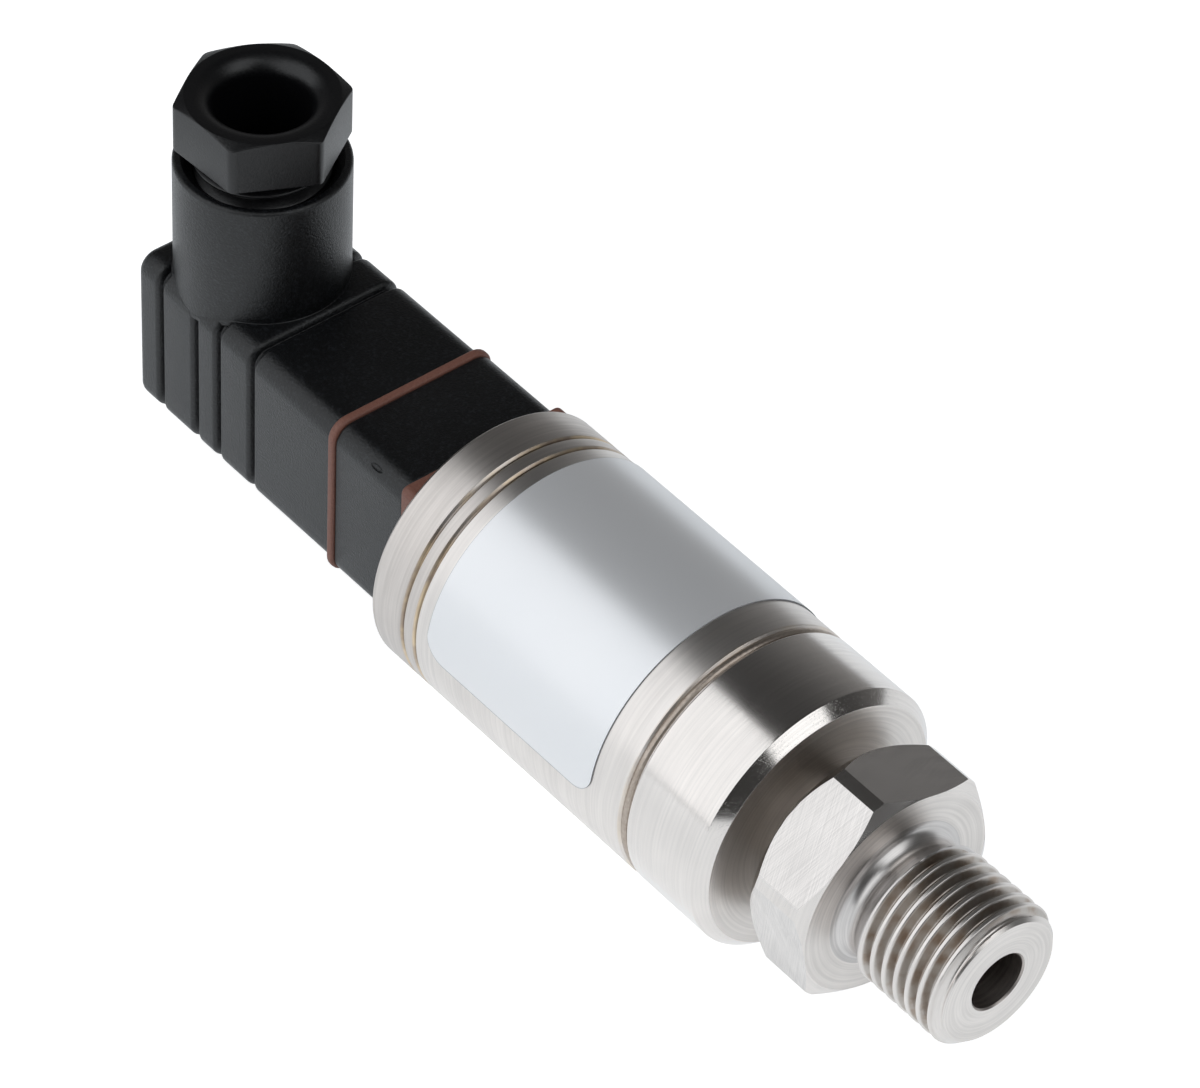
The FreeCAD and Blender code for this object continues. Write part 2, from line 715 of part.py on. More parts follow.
def make_plug_base():
    """The moulded base with its spigot, pin slots, insert hole and screw counterbores."""
    body = new_body("plug_base", base_spigot_front)
    flange = base_gasket_thick + base_spigot
    length = flange + base_len
    square_pad(body, "base", base_side, base_len, flange)
    spigot = new_sketch(body, "spigot_circle", "YZ_Plane")
    draw_circle(spigot, cap_hole - fit_gap * 2)
    pad(body, spigot, "spigot", flange + base_screw_floor / 2)
    cut_blade_slots(body, "pin_slots", blade_width + fit_gap * 2, blade_thick + fit_gap * 2, length)
    insert_depth = insert_len + insert_sink
    cut_circle(body, "insert_hole", insert_dia + fit_gap * 2, insert_depth, length - insert_depth)
    cut_circle(body, "screw_holes", base_screw_dia + head_gap, base_screw_floor, flange, screw_places())
    cut_circle(body, "head_holes", base_screw_head + head_gap * 2, base_len - base_screw_floor,
               flange + base_screw_floor, screw_places())


def make_blades():
    """Three contact pins and the earth pin, which stands towards the gland."""
    blade_rear = plug_face + blade_reach
    blades = []
    for index, (y, z) in enumerate(cross(blade_offset)):
        across_y = isinstance(z, Size)
        width, height = (blade_width, blade_thick) if across_y else (blade_thick, blade_width)
        blades.append(block(f"blade_{index}", blade_front, blade_rear, width, height, y, z))
    keep(blades[0], "earth_blade")
    combine("Part::Compound", "contact_blades", blades[1:])


def make_screw_insert():
    """The threaded insert that the fixing screw goes into."""
    body = new_body("screw_insert", insert_rear - insert_len)
    inner = screw_dia / 2 + fit_gap
    outer = insert_dia / 2
    revolve(body, "insert", [(0, inner), (0, outer), (insert_len, outer), (insert_len, inner)])


def make_base_screws():
    """The two screws that hold the plug base to the end cap."""
    seat = base_front + base_screw_floor
    screws = []
    for index, (y, z) in enumerate(screw_places()):
        shank = rod(f"base_shank_{index}", base_screw_dia, body_rear - cap_web, seat, -y, z)
        head = rod(f"base_head_{index}", base_screw_head, seat, seat + base_screw_head_len, -y, z)
        screw = document.addObject("Part::Fuse", f"base_screw_{index}")
        screw.Base = shank
        screw.Tool = head
        screws.append(screw)
    combine("Part::Compound", "base_screws", screws)


def make_socket_housing():
    """The moulded cable socket: a square shell with a gland tube, grip grooves and a screw boss."""
    body = new_body("socket_housing", socket_front)
    square_pad(body, "shell", socket_side, socket_len)
    fillet(body, "rear_edges", socket_end_edge, lambda edge: lies_at(edge, X_DIRECTION, socket_len.value))
    for index, distance in enumerate((groove_one, groove_two, groove_three, groove_four), 1):
        cut_grip_groove(body, f"grip_{index}", socket_len - distance - groove_width / 2)
    tube_x = socket_len - tube_back
    tube = new_sketch(body, "tube_circle", "XY_Plane")
    draw_circle(tube, tube_dia, (tube_x, 0))
    pad(body, tube, "gland_tube", tube_top)
    fillet(body, "tube_rim", tube_edge, lambda edge: lies_at(edge, Z_DIRECTION, tube_top.value))
    chamber = new_sketch(body, "chamber_square", "YZ_Plane")
    draw_rectangle(chamber, chamber_half * 2, chamber_half * 2, shell_centre)
    cut(body, chamber, "chamber", socket_len - socket_wall)
    hole = new_sketch(body, "cable_circle", "XY_Plane")
    draw_circle(hole, cable_hole, (tube_x, 0))
    cut(body, hole, "cable_way", tube_top)
    thread = new_sketch(body, "thread_circle", "XY_Plane", gland_seat)
    draw_circle(thread, gland_thread, (tube_x, 0))
    cut(body, thread, "gland_bore_cut", tube_top - gland_seat)
    boss = new_sketch(body, "boss_circle", "YZ_Plane", socket_len - boss_len)
    draw_circle(boss, boss_dia)
    pad(body, boss, "screw_boss", boss_len - socket_wall / 2)
    head_depth = screw_sink + screw_head_len + washer_thick
    cut_circle(body, "screw_way", screw_dia + head_gap * 2, boss_len, socket_len - boss_len)
    cut_circle(body, "head_recess", screw_head_dia + head_gap * 2, head_depth, socket_len - head_depth)
    chamfer(body, "thread_lead_in", gland_lead_in, lambda edge: (
        lies_at(edge, Z_DIRECTION, tube_top.value) and is_circle(edge, gland_thread.value / 2)))


def cut_grip_groove(body, name, offset):
    """A narrow groove round the square shell."""
    sketch = new_sketch(body, name + "_band", "YZ_Plane", offset)
    draw_rectangle(sketch, socket_side * 2, socket_side * 2, shell_centre)
    floor_side = socket_side - groove_depth * 2
    draw_rectangle(sketch, floor_side, floor_side, shell_centre)
    cut(body, sketch, name, groove_width)


def make_terminal_insert():
    """The moulded block that holds the contact sockets."""
    body = new_body("terminal_insert", socket_front)
    side = (chamber_half - drop_in_gap) * 2
    sketch = new_sketch(body, "insert_square", "YZ_Plane")
    draw_rectangle(sketch, side, side, shell_centre)
    pad(body, sketch, "insert", terminal_len)
    cut_circle(body, "screw_way", screw_dia + head_gap * 2, terminal_len)
    cut_blade_slots(body, "pin_slots", blade_width + head_gap * 2, blade_thick + head_gap * 2, terminal_face)
    cut_blade_slots(body, "contact_pockets", contact_width + drop_in_gap * 2, contact_thick + drop_in_gap * 2,
                    terminal_len - terminal_face, terminal_face)


def make_contact_sockets():
    """Four contacts, each with a slot for its pin, a wire hole and a screw hole."""
    contacts = []
    contact_rear = contact_front + contact_len
    clamp_station = contact_rear - clamp_screw_back
    for index, (y, z) in enumerate(cross(blade_offset)):
        across_y = isinstance(z, Size)
        width, height = (contact_width, contact_thick) if across_y else (contact_thick, contact_width)
        slot_width, slot_height = (blade_width, blade_thick) if across_y else (blade_thick, blade_width)
        shell = block(f"contact_shell_{index}", contact_front, contact_rear, width, height, y, z)
        slot = block(f"contact_slot_{index}", contact_front, contact_front + contact_slot_len,
                     slot_width + contact_slot_gap * 2, slot_height + contact_slot_gap * 2, y, z)
        wire = rod(f"contact_wire_{index}", wire_hole, contact_rear - wire_hole_len, contact_rear, y, z)
        screw = clamp_rod(f"contact_screw_{index}", index, clamp_station, clamp_screw_dia + fit_gap * 2,
                          blade_offset, contact_thick / 2)
        tools = document.addObject("Part::MultiFuse", f"contact_cuts_{index}")
        tools.Shapes = [slot, wire, screw]
        contact = document.addObject("Part::Cut", f"contact_{index}")
        contact.Base = shell
        contact.Tool = tools
        contacts.append(contact)
    combine("Part::Compound", "contact_sockets", contacts)


def clamp_rod(name, index, station, diameter, start, length):
    """A rod that points outwards from the axis, at one of the four contact places."""
    cylinder = document.addObject("Part::Cylinder", name)
    bind(cylinder, "Radius", diameter / 2)
    bind(cylinder, "Height", length)
    outwards = Rotation(X_DIRECTION, index * FULL_TURN / QUARTER_TURNS)
    direction = outwards.multVec(Z_DIRECTION)
    cylinder.Placement = FreeCAD.Placement(Vector(0, 0, 0), outwards)
    bind(cylinder, "Placement.Base.x", -station)
    bind(cylinder, "Placement.Base.y", start * round(direction.y))
    bind(cylinder, "Placement.Base.z", start * round(direction.z))
    return cylinder


def make_terminal_screws():
    """Four screws that clamp the wires in the contacts."""
    station = contact_front + contact_len - clamp_screw_back
    outer = blade_offset + contact_thick / 2
    screws = []
    for index in range(QUARTER_TURNS):
        shank = clamp_rod(f"clamp_shank_{index}", index, station, clamp_screw_dia,
                          outer - clamp_screw_len, clamp_screw_len)
        head = clamp_rod(f"clamp_head_{index}", index, station, clamp_screw_head, outer, clamp_screw_head_len)
        screw = document.addObject("Part::Fuse", f"clamp_screw_{index}")
        screw.Base = shank
        screw.Tool = head
        screws.append(screw)
    combine("Part::Compound", "terminal_screws", screws)


def make_fixing_screw():
    """The central screw with a slotted head at the rear, and its sealing washer."""
    tip = plug_face - screw_reach
    body = new_body("fixing_screw", tip)
    head_front = screw_seat + washer_thick - tip
    head_rear = head_front + screw_head_len
    revolve(body, "screw", [
        (0, 0),
        (0, screw_dia / 2),
        (head_front, screw_dia / 2),
        (head_front, screw_head_dia / 2),
        (head_rear, screw_head_dia / 2),
        (head_rear, 0),
    ])
    slot = new_sketch(body, "slot_outline", "YZ_Plane", head_rear)
    draw_rectangle(slot, screw_head_dia * 2, screw_slot)
    cut(body, slot, "driver_slot", screw_slot_depth, along_normal=False)
    washer = new_body("screw_washer", screw_seat)
    inner = screw_dia / 2 + fit_gap
    outer = screw_head_dia / 2
    revolve(washer, "washer", [(0, inner), (0, outer), (washer_thick, outer), (washer_thick, inner)])


def upright_ring(label, level, height, outer, inner):
    """A flat ring on the gland's axis."""
    body = new_upright_body(label, level)
    sketch = new_sketch(body, "ring_circles", "XY_Plane")
    draw_circle(sketch, outer)
    draw_circle(sketch, inner)
    pad(body, sketch, "ring", height)


def make_gland():
    """Seal, slip washer and hollow hexagon screw of the cable gland."""
    dropped_in = gland_thread - drop_in_gap * 2
    upright_ring("gland_seal", gland_seat, seal_top - gland_seat, dropped_in, seal_bore)
    upright_ring("slip_washer", seal_top, slip_thick, dropped_in, slip_bore)
    body = new_upright_body("gland_screw", slip_top)
    thread = new_sketch(body, "thread_circle", "XY_Plane")
    draw_circle(thread, gland_thread - fit_gap * 2)
    pad(body, thread, "thread", gland_screw_len)
    head = new_sketch(body, "head_hexagon", "XY_Plane", gland_screw_len, gland_turn)
    corner = gland_flats / (2 * math.cos(math.pi / HEXAGON))
    angles = [2 * math.pi * index / HEXAGON for index in range(HEXAGON)]
    draw_outline(head, [(corner * math.cos(angle), corner * math.sin(angle)) for angle in angles])
    pad(body, head, "head", gland_head)
    fillet(body, "head_corners", gland_edge, lambda edge: (
        runs_along(edge, Z_DIRECTION) and abs(edge.Length - gland_head.value) < LENGTH_TOLERANCE))
    bore = new_sketch(body, "bore_circle", "XY_Plane")
    draw_circle(bore, gland_bore)
    head_top = gland_screw_len + gland_head
    cut(body, bore, "cable_bore", head_top)
    fillet(body, "mouth", gland_mouth, lambda edge: (
        lies_at(edge, Z_DIRECTION, head_top.value) and is_circle(edge, gland_bore.value / 2)))
    bevel_rim = gland_flats / 2 - gland_bevel
    cut_round(body, "head_bevel", [
        (bevel_rim, head_top),
        (corner, head_top),
        (corner, head_top - (corner - bevel_rim) * CHAMFER_SLOPE),
    ])


make_pressure_port()
make_housing_sleeve()
make_joint_ring()
make_end_cap()
make_type_label()
make_sensing_cell()
make_electronics()
make_base_gasket()
make_plug_base()
make_blades()
make_screw_insert()
make_base_screws()
make_interface_gasket()
make_socket_housing()
make_terminal_insert()
make_contact_sockets()
make_terminal_screws()
make_fixing_screw()
make_gland()
document.recompute()

# Every object is sound before anything is written
for thing in document.Objects:
    if "Invalid" in thing.State or "Error" in thing.State:
        raise RuntimeError(f"{thing.Label} failed: {thing.State}")
for part in sub_parts:
    if part.Shape.isNull() or not part.Shape.isValid():
        raise RuntimeError(f"{part.Label} has no valid shape")

os.makedirs("parts", exist_ok=True)
for part in sub_parts:
    part.Shape.exportStep(f"parts/{part.Label}.step")
    print(f"{part.Label}: {len(part.Shape.Solids)} solids, {part.Shape.Volume:.1f} mm3")
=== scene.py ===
# %% [markdown]
# A pressure sensor for industrial pipework. A turned stainless body carries a male pipe thread and
# a hexagon at the front, and a black plug connector with a cable gland at the rear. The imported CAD
# model gives every place and size. Here its visible pieces are skinned again with rounded edges,
# a real helical thread and weld seams, and every piece gets a finish of its own.

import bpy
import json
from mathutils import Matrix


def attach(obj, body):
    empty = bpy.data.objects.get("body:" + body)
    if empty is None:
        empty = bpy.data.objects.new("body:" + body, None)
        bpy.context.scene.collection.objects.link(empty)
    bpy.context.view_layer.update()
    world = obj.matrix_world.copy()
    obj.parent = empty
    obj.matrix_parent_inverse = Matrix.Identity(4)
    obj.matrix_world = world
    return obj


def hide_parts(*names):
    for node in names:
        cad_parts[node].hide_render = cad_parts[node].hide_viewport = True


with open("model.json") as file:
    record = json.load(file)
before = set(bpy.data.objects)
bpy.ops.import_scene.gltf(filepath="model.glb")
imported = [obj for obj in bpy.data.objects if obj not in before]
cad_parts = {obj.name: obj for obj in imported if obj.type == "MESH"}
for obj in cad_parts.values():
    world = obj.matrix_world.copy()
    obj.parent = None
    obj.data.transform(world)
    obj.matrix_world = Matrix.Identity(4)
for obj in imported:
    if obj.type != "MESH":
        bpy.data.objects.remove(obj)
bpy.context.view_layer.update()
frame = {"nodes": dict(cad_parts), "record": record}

import json
import math

import bmesh
import bpy
import numpy as np
from mathutils import Matrix, Vector

MM = 0.001
FULL_TURN = 2 * math.pi
scene = bpy.context.scene
scene.view_settings.view_transform = "Standard"

# %% [markdown]
# The camera comes first, because it decides how fine the surfaces have to be. Its place was found
# by fitting the sensor's circles and edges to the photograph, so it is given as angles about the
# sensor and a distance. A long lens keeps the cylinder's sides nearly parallel.

# %% Camera
PHOTO_WIDTH = 1200
SENSOR_WIDTH = 36
FOCAL_PIXELS = 5838.86
CAMERA_AZIMUTH = math.radians(48.098)
CAMERA_ELEVATION = math.radians(43.52)
CAMERA_ROLL = math.radians(3.261)
CAMERA_PLACE = Vector((218.25, -229.14, 335.50)) * MM

right = Vector((math.cos(CAMERA_AZIMUTH), math.sin(CAMERA_AZIMUTH), 0))
back = Vector((
    math.sin(CAMERA_AZIMUTH) * math.cos(CAMERA_ELEVATION),
    -math.cos(CAMERA_AZIMUTH) * math.cos(CAMERA_ELEVATION),
    math.sin(CAMERA_ELEVATION),
))
up = back.cross(right)
rolled_right = right * math.cos(CAMERA_ROLL) + up * math.sin(CAMERA_ROLL)
rolled_up = up * math.cos(CAMERA_ROLL) - right * math.sin(CAMERA_ROLL)

camera = bpy.data.objects.new("camera", bpy.data.cameras.new("camera"))
camera.data.sensor_width = SENSOR_WIDTH
camera.data.lens = FOCAL_PIXELS * SENSOR_WIDTH / PHOTO_WIDTH
camera.data.clip_start = 0.01
camera.matrix_world = Matrix.LocRotScale(
    CAMERA_PLACE, Matrix((rolled_right, rolled_up, back)).transposed().to_quaternion(), None)
scene.collection.objects.link(camera)
scene.camera = camera
print(f"lens {camera.data.lens:.1f} mm")

# %% [markdown]
# Nearly all of the sensor is turned, lofted or swept, so every visible piece is a grid of rows of
# points. A subdivision surface would round the crisp edges too much, and a bevel modifier can fail
# on a thread, so the small edge rounds are part of each profile instead. Points that fall on each
# other are merged at the end, which closes the skins. Lengths are in millimetres, and X runs along
# the sensor's axis, with 0 at the front of the hexagon and the thread on the positive side.

# %% Skins
MERGE_DISTANCE = 1e-7
CREASE_ANGLE = math.radians(24)


def place_piece(name, mesh, body, node=None):
    """Make an object of a mesh as a piece of one body, and hide the CAD node that it replaces."""
    mesh.shade_smooth()
    mesh.set_sharp_from_angle(angle=CREASE_ANGLE)
    thing = bpy.data.objects.new(name, mesh)
    scene.collection.objects.link(thing)
    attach(thing, body)
    if node:
        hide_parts(node)
    print(f"{name}: {len(mesh.polygons)} faces")
    return thing


class Skin:
    """A mesh that grows by grids of points, in millimetres."""

    def __init__(self):
        self.points = []
        self.faces = []
        self.marks = []

    def grid(self, rows, wrap=True, finish=0):
        """Add rows of points, joined by quads. Wrap closes each row to a loop, and finish is the
        number of the finish, or a function that gives it for a row and a place in it."""
        rows = np.asarray(rows, float)
        count, length = rows.shape[:2]
        first = len(self.points)
        self.points += (rows.reshape(-1, 3) * MM).tolist()
        for row in range(count - 1):
            low = first + row * length
            high = low + length
            for place in range(length if wrap else length - 1):
                following = (place + 1) % length
                self.faces.append((low + place, low + following, high + following, high + place))
                self.marks.append(finish(row, place) if callable(finish) else finish)
        return self

    def mesh(self, name, *finishes):
        """Merge the points that fall on each other, which closes the skin."""
        mesh = bpy.data.meshes.new(name)
        mesh.from_pydata(self.points, [], self.faces)
        mesh.polygons.foreach_set("material_index", self.marks)
        work = bmesh.new()
        work.from_mesh(mesh)
        bmesh.ops.remove_doubles(work, verts=work.verts, dist=MERGE_DISTANCE)
        bmesh.ops.dissolve_degenerate(work, edges=work.edges, dist=MERGE_DISTANCE)
        bmesh.ops.recalc_face_normals(work, faces=work.faces)
        work.to_mesh(mesh)
        work.free()
        for finish in finishes:
            mesh.materials.append(finish)
        return mesh


print(f"points closer than {MERGE_DISTANCE} m are merged")

# %% Profiles and rings
MOST_OF_HALF = 0.49
SEGMENTS = 144


def rounded(corners, steps=5):
    """A profile of (a, b) or (a, b, radius) corners. A corner with a radius becomes an arc."""
    points = [np.array(corner[:2], float) for corner in corners]
    profile = []
    for index, corner in enumerate(corners):
        point = points[index]
        radius = corner[2] if len(corner) > 2 else 0
        inside = 0 < index < len(corners) - 1
        if not radius or not inside:
            profile.append(point)
            continue
        before, after = points[index - 1] - point, points[index + 1] - point
        reach_before, reach_after = np.linalg.norm(before), np.linalg.norm(after)
        before, after = before / reach_before, after / reach_after
        half = math.acos(np.clip(before @ after, -1, 1)) / 2
        reach = min(radius / math.tan(half), reach_before * MOST_OF_HALF, reach_after * MOST_OF_HALF)
        arc_radius = reach * math.tan(half)
        middle = before + after
        centre = point + middle / np.linalg.norm(middle) * arc_radius / math.sin(half)
        start, end = point + before * reach - centre, point + after * reach - centre
        sweep = math.pi - 2 * half
        for step in range(steps + 1):
            share = step / steps
            spoke = start * math.sin((1 - share) * sweep) + end * math.sin(share * sweep)
            profile.append(centre + spoke / math.sin(sweep))
    return np.array(profile)


def polar(x, radius, angle):
    """A point at an angle about the sensor axis, which is X."""
    return x, radius * math.cos(angle), radius * math.sin(angle)


def round_angles(count):
    """Angles spread evenly over a full turn."""
    return np.linspace(0, FULL_TURN, count, endpoint=False)


print(f"rings have {SEGMENTS} points")

# %% [markdown]
# A finish is a node material, and its varying numbers are sums of sockets. One small class lets
# these sums be written as Python expressions, and one method adds any other node. The surface's
# own place in the sensor's frame drives every pattern, so no picture and no unwrapping is needed.

# %% Shader sums
class Value:
    """A shader socket that takes part in sums: each operator adds one Math node."""

    def __init__(self, pattern, socket):
        self.pattern = pattern
        self.socket = socket

    def math(self, operation, first, second=0.0):
        return self.pattern.node("ShaderNodeMath", {"operation": operation}, {0: first, 1: second})

    def __add__(self, other):
        return self.math("ADD", self, other)

    def __sub__(self, other):
        return self.math("SUBTRACT", self, other)

    def __rsub__(self, other):
        return self.math("SUBTRACT", other, self)

    def __mul__(self, other):
        return self.math("MULTIPLY", self, other)

    def __truediv__(self, other):
        return self.math("DIVIDE", self, other)

    def __rtruediv__(self, other):
        return self.math("DIVIDE", other, self)

    def __pow__(self, other):
        return self.math("POWER", self, other)

    def __rpow__(self, other):
        return self.math("POWER", other, self)

    def __abs__(self):
        return self.math("ABSOLUTE", self)

    __radd__ = __add__
    __rmul__ = __mul__

    def at_least(self, other):
        return self.math("MAXIMUM", self, other)

    def sine(self):
        return self.math("SINE", self)

    def cosine(self):
        return self.math("COSINE", self)

    def nearest(self):
        """The nearest whole number."""
        return self.math("ROUND", self)

    def angle_from(self, other):
        """Angle of the point (other, self) about the origin."""
        return self.math("ARCTAN2", self, other)

    def step(self, low, high):
        """0 below low, 1 above high, and smooth between."""
        return self.pattern.node(
            "ShaderNodeMapRange", {"interpolation_type": "SMOOTHSTEP"},
            {"Value": self, "From Min": low, "From Max": high})


print("shader sums ready")

# %% Node patterns
class Pattern:
    """A node tree with one method that adds a node, and short forms for the common ones."""

    def __init__(self, tree):
        self.nodes = tree.nodes
        self.links = tree.links

    def node(self, kind, settings=None, sockets=None, output=0):
        """Add a node: its settings first, then the values or links of its sockets."""
        node = self.nodes.new(kind)
        for name, value in (settings or {}).items():
            setattr(node, name, value)
        for name, value in (sockets or {}).items():
            if isinstance(value, Value):
                self.links.new(value.socket, node.inputs[name])
            else:
                node.inputs[name].default_value = value
        return Value(self, node.outputs[output]) if node.outputs else None

    def parts(self, vector):
        """The x, y and z of a vector."""
        split = self.node("ShaderNodeSeparateXYZ", sockets={"Vector": vector}).socket.node
        return [Value(self, split.outputs[axis]) for axis in "XYZ"]

    def rays(self, *kinds):
        """1 where the ray that asks is of a kind, such as a camera ray, and else 0."""
        path = self.node("ShaderNodeLightPath").socket.node
        return [Value(self, path.outputs[kind]) for kind in kinds]

    def noise(self, vector, scale, detail=2.0, roughness=0.5, extra=0.0):
        """Smooth noise from 0 to 1 at a place of three coordinates, and a fourth if given."""
        spot = self.node("ShaderNodeCombineXYZ", sockets=dict(zip("XYZ", vector)))
        return self.node(
            "ShaderNodeTexNoise", {"noise_dimensions": "4D"},
            {"Vector": spot, "W": extra, "Scale": scale, "Detail": detail, "Roughness": roughness})

    def mix(self, share, first, second):
        """One colour blended to another by a share from 0 to 1."""
        return self.node(
            "ShaderNodeMix", {"data_type": "RGBA"}, {0: share, 6: first, 7: second}, output=2)


print("node patterns ready")

# %% Finishes and colours
class Finish(Pattern):
    """A Principled material whose patterns come from the surface's place."""

    def __init__(self, name, **constants):
        self.material = bpy.data.materials.new(name)
        self.material.use_nodes = True
        super().__init__(self.material.node_tree)
        self.shader = self.nodes["Principled BSDF"]
        for socket, value in constants.items():
            self.shader.inputs[socket.replace("_", " ")].default_value = value

    def feed(self, socket, value):
        """Link a varying value to the shader."""
        self.links.new(value.socket, self.shader.inputs[socket])

    def place(self):
        """The surface point's x, y and z in millimetres."""
        spot = self.node("ShaderNodeTexCoord", output="Object")
        return [part * (1 / MM) for part in self.parts(spot)]

    def bump(self, height, distance):
        """Raise the surface's shading by a height times a distance in millimetres."""
        sockets = {"Height": height, "Distance": distance * MM}
        self.feed("Normal", self.node("ShaderNodeBump", sockets=sockets))


def colour(red, green, blue):
    """A display colour of 0 to 255 parts as a linear RGBA colour."""
    parts = [part / 255 for part in (red, green, blue)]
    linear = [p / 12.92 if p <= 0.04045 else ((p + 0.055) / 1.055) ** 2.4 for p in parts]
    return (*linear, 1.0)


BLACK, WHITE = colour(0, 0, 0), colour(255, 255, 255)
print("finishes and colours ready")

# %% [markdown]
# The steel is one alloy with several finishes. The sleeve and cap are brushed round the axis, the
# front is turned, the hexagon's flats are milled and the chamfers are left bright by the tool. Real
# brushing is thousands of fine grooves, which spread a reflection across the lay. Here a stretched
# noise stands for the grooves: fine along the axis and the radius, and slow round the axis. Noise
# lies mostly between 0.3 and 0.7, so a step over that range makes full use of two tones.

# %% Grooved steel
PALE_STEEL, GREY_STEEL = colour(238, 232, 227), colour(208, 203, 199)
STRAW_TINT, BROWN_TINT = colour(226, 198, 152), colour(158, 132, 104)
# Colour of the painted shade down the middle of the rear seams' grooves.
PAINTED_SEAM_SHADE = colour(78, 66, 56)
# Colours of the painted shade in the thread's roots.
ROOT_SHADE_GREY, ROOT_SHADE_BROWN = colour(184, 178, 172), colour(160, 146, 134)
CLOUD_SCALE, TINT_SCALE, ROOT_SHADE_SCALE, PIT_SCALE = 0.22, 0.5, 0.7, 9.0
CLOUD_SHARE = 0.4
SEAM_SHADE_SPAN = 0.04, 0.17
ROOT_SHADE_DEPTH = 0.02, 0.25
ROOT_SHADE_FROM, ROOT_SHADE_TO = 2.4, 11.5


def steel(name, roughness, groove_size, relief, streak, lay=1.0, tones=(PALE_STEEL, GREY_STEEL),
          lines=0.3, seams=(), pits=0.0, crest=None):
    """Steel with grooves round the sensor axis, which also vary its colour and gloss. Each seam is
    a place, the width and strength of the tint that a weld's heat leaves there, and the strength of
    the painted shade down its groove. Below a thread's crest radius, in the roots, painted shade
    makes the steel darker and browner."""
    finish = Finish(name, Metallic=1.0)
    x, y, z = finish.place()
    radius = (y * y + z * z) ** 0.5
    groove = finish.noise(
        (x / groove_size, radius / groove_size, y / radius * lay), 1.0, detail=4.0, roughness=0.6,
        extra=z / radius * lay)
    cloud = finish.noise((x, y, z), CLOUD_SCALE, detail=3.0)
    grey = groove.step(0.3, 0.7) * lines + cloud * CLOUD_SHARE + (0.3 - lines / 2)
    shade = finish.mix(grey, *tones)
    for place, width, strength, groove_shade in seams:
        off = abs(x - place)
        heat = (1 - off.step(width * 0.4, width)) * cloud.step(0.3, 0.6) * strength
        patches = finish.noise((x, y, z), TINT_SCALE).step(0.35, 0.65)
        shade = finish.mix(heat, shade, finish.mix(patches, BROWN_TINT, STRAW_TINT))
        # Painted shade: a dark band down the middle of each seam's groove.
        shade = finish.mix((1 - off.step(*SEAM_SHADE_SPAN)) * groove_shade, shade, PAINTED_SEAM_SHADE)
    # Painted shade: below the crest radius, in the thread's roots, the colour turns darker and browner
    # in patches.
    if crest:
        patches = finish.noise((x, y, z), ROOT_SHADE_SCALE, detail=3.0).step(0.4, 0.7)
        root_shade = finish.mix(patches, ROOT_SHADE_GREY, ROOT_SHADE_BROWN)
        threaded = (x - ROOT_SHADE_FROM).step(0.0, 0.6) * (ROOT_SHADE_TO - x).step(0.0, 0.5)
        shade = finish.mix((crest - radius).step(*ROOT_SHADE_DEPTH) * threaded, shade, root_shade)
    finish.feed("Base Color", shade)
    finish.feed("Roughness", groove * streak + cloud * (1.5 * streak) + (roughness - 1.25 * streak))
    height = groove
    if pits:
        height = groove - finish.noise((x, y, z), PIT_SCALE, detail=1.0).step(0.58, 0.72) * pits
    finish.bump(height, relief)
    return finish.material


print("grooved steel ready")

# %% Steels of the body
FRONT_WELD = -18.6
REAR_SEAMS = (-45.3, -46.9)
CREST_RADIUS = 6.5785
# Darker tones that paint shade into the narrow recess behind the hexagon.
RECESS_SHADE_STEEL = colour(184, 177, 170), colour(158, 151, 144)
CAP_STEEL = colour(222, 215, 210), colour(190, 184, 179)
FACED_STEEL = colour(244, 238, 233), colour(206, 201, 197)
BORE_STEEL = colour(198, 190, 185), colour(138, 129, 124)
NECK_STEEL = colour(226, 222, 219), colour(182, 178, 176)
WELD_STEEL = colour(206, 196, 186), colour(150, 134, 120)
# Width and strength of each seam's heat tint, then the strength of the painted shade in its groove.
REAR_TINT = 0.34, 0.7, 0.6
FRONT_TINT_PLACE, FRONT_TINT = FRONT_WELD - 0.5, (0.25, 0.25, 0.0)

heat_seams = [(place, *REAR_TINT) for place in REAR_SEAMS]
heat_seams.append((FRONT_TINT_PLACE, *FRONT_TINT))
brushed_steel = steel(
    "brushed_steel", roughness=0.345, groove_size=0.30, relief=0.008, streak=0.08, lay=1.2,
    lines=0.4, seams=heat_seams)
cap_steel = steel(
    "cap_steel", roughness=0.37, groove_size=0.30, relief=0.009, streak=0.08, lay=1.2,
    tones=CAP_STEEL, lines=0.5, seams=heat_seams)
turned_steel = steel(
    "turned_steel", roughness=0.20, groove_size=0.20, relief=0.003, streak=0.07)
faced_steel = steel(
    "faced_steel", roughness=0.36, groove_size=0.24, relief=0.014, streak=0.08, lay=0.5,
    tones=FACED_STEEL, lines=0.45)
# The hexagon's back face and the waist lie in a narrow recess: this steel's darker colour is painted
# shade there.
recess_shade_steel = steel(
    "recess_shade_steel", roughness=0.42, groove_size=0.30, relief=0.012, streak=0.10, tones=RECESS_SHADE_STEEL)
bright_steel = steel(
    "bright_steel", roughness=0.14, groove_size=0.20, relief=0.0025, streak=0.06, pits=1.2)
thread_steel = steel(
    "thread_steel", roughness=0.31, groove_size=0.20, relief=0.003, streak=0.025, lay=2.0,
    crest=CREST_RADIUS)
neck_steel = steel(
    "neck_steel", roughness=0.305, groove_size=0.24, relief=0.006, streak=0.02, lay=0.5,
    tones=NECK_STEEL, lines=0.6)
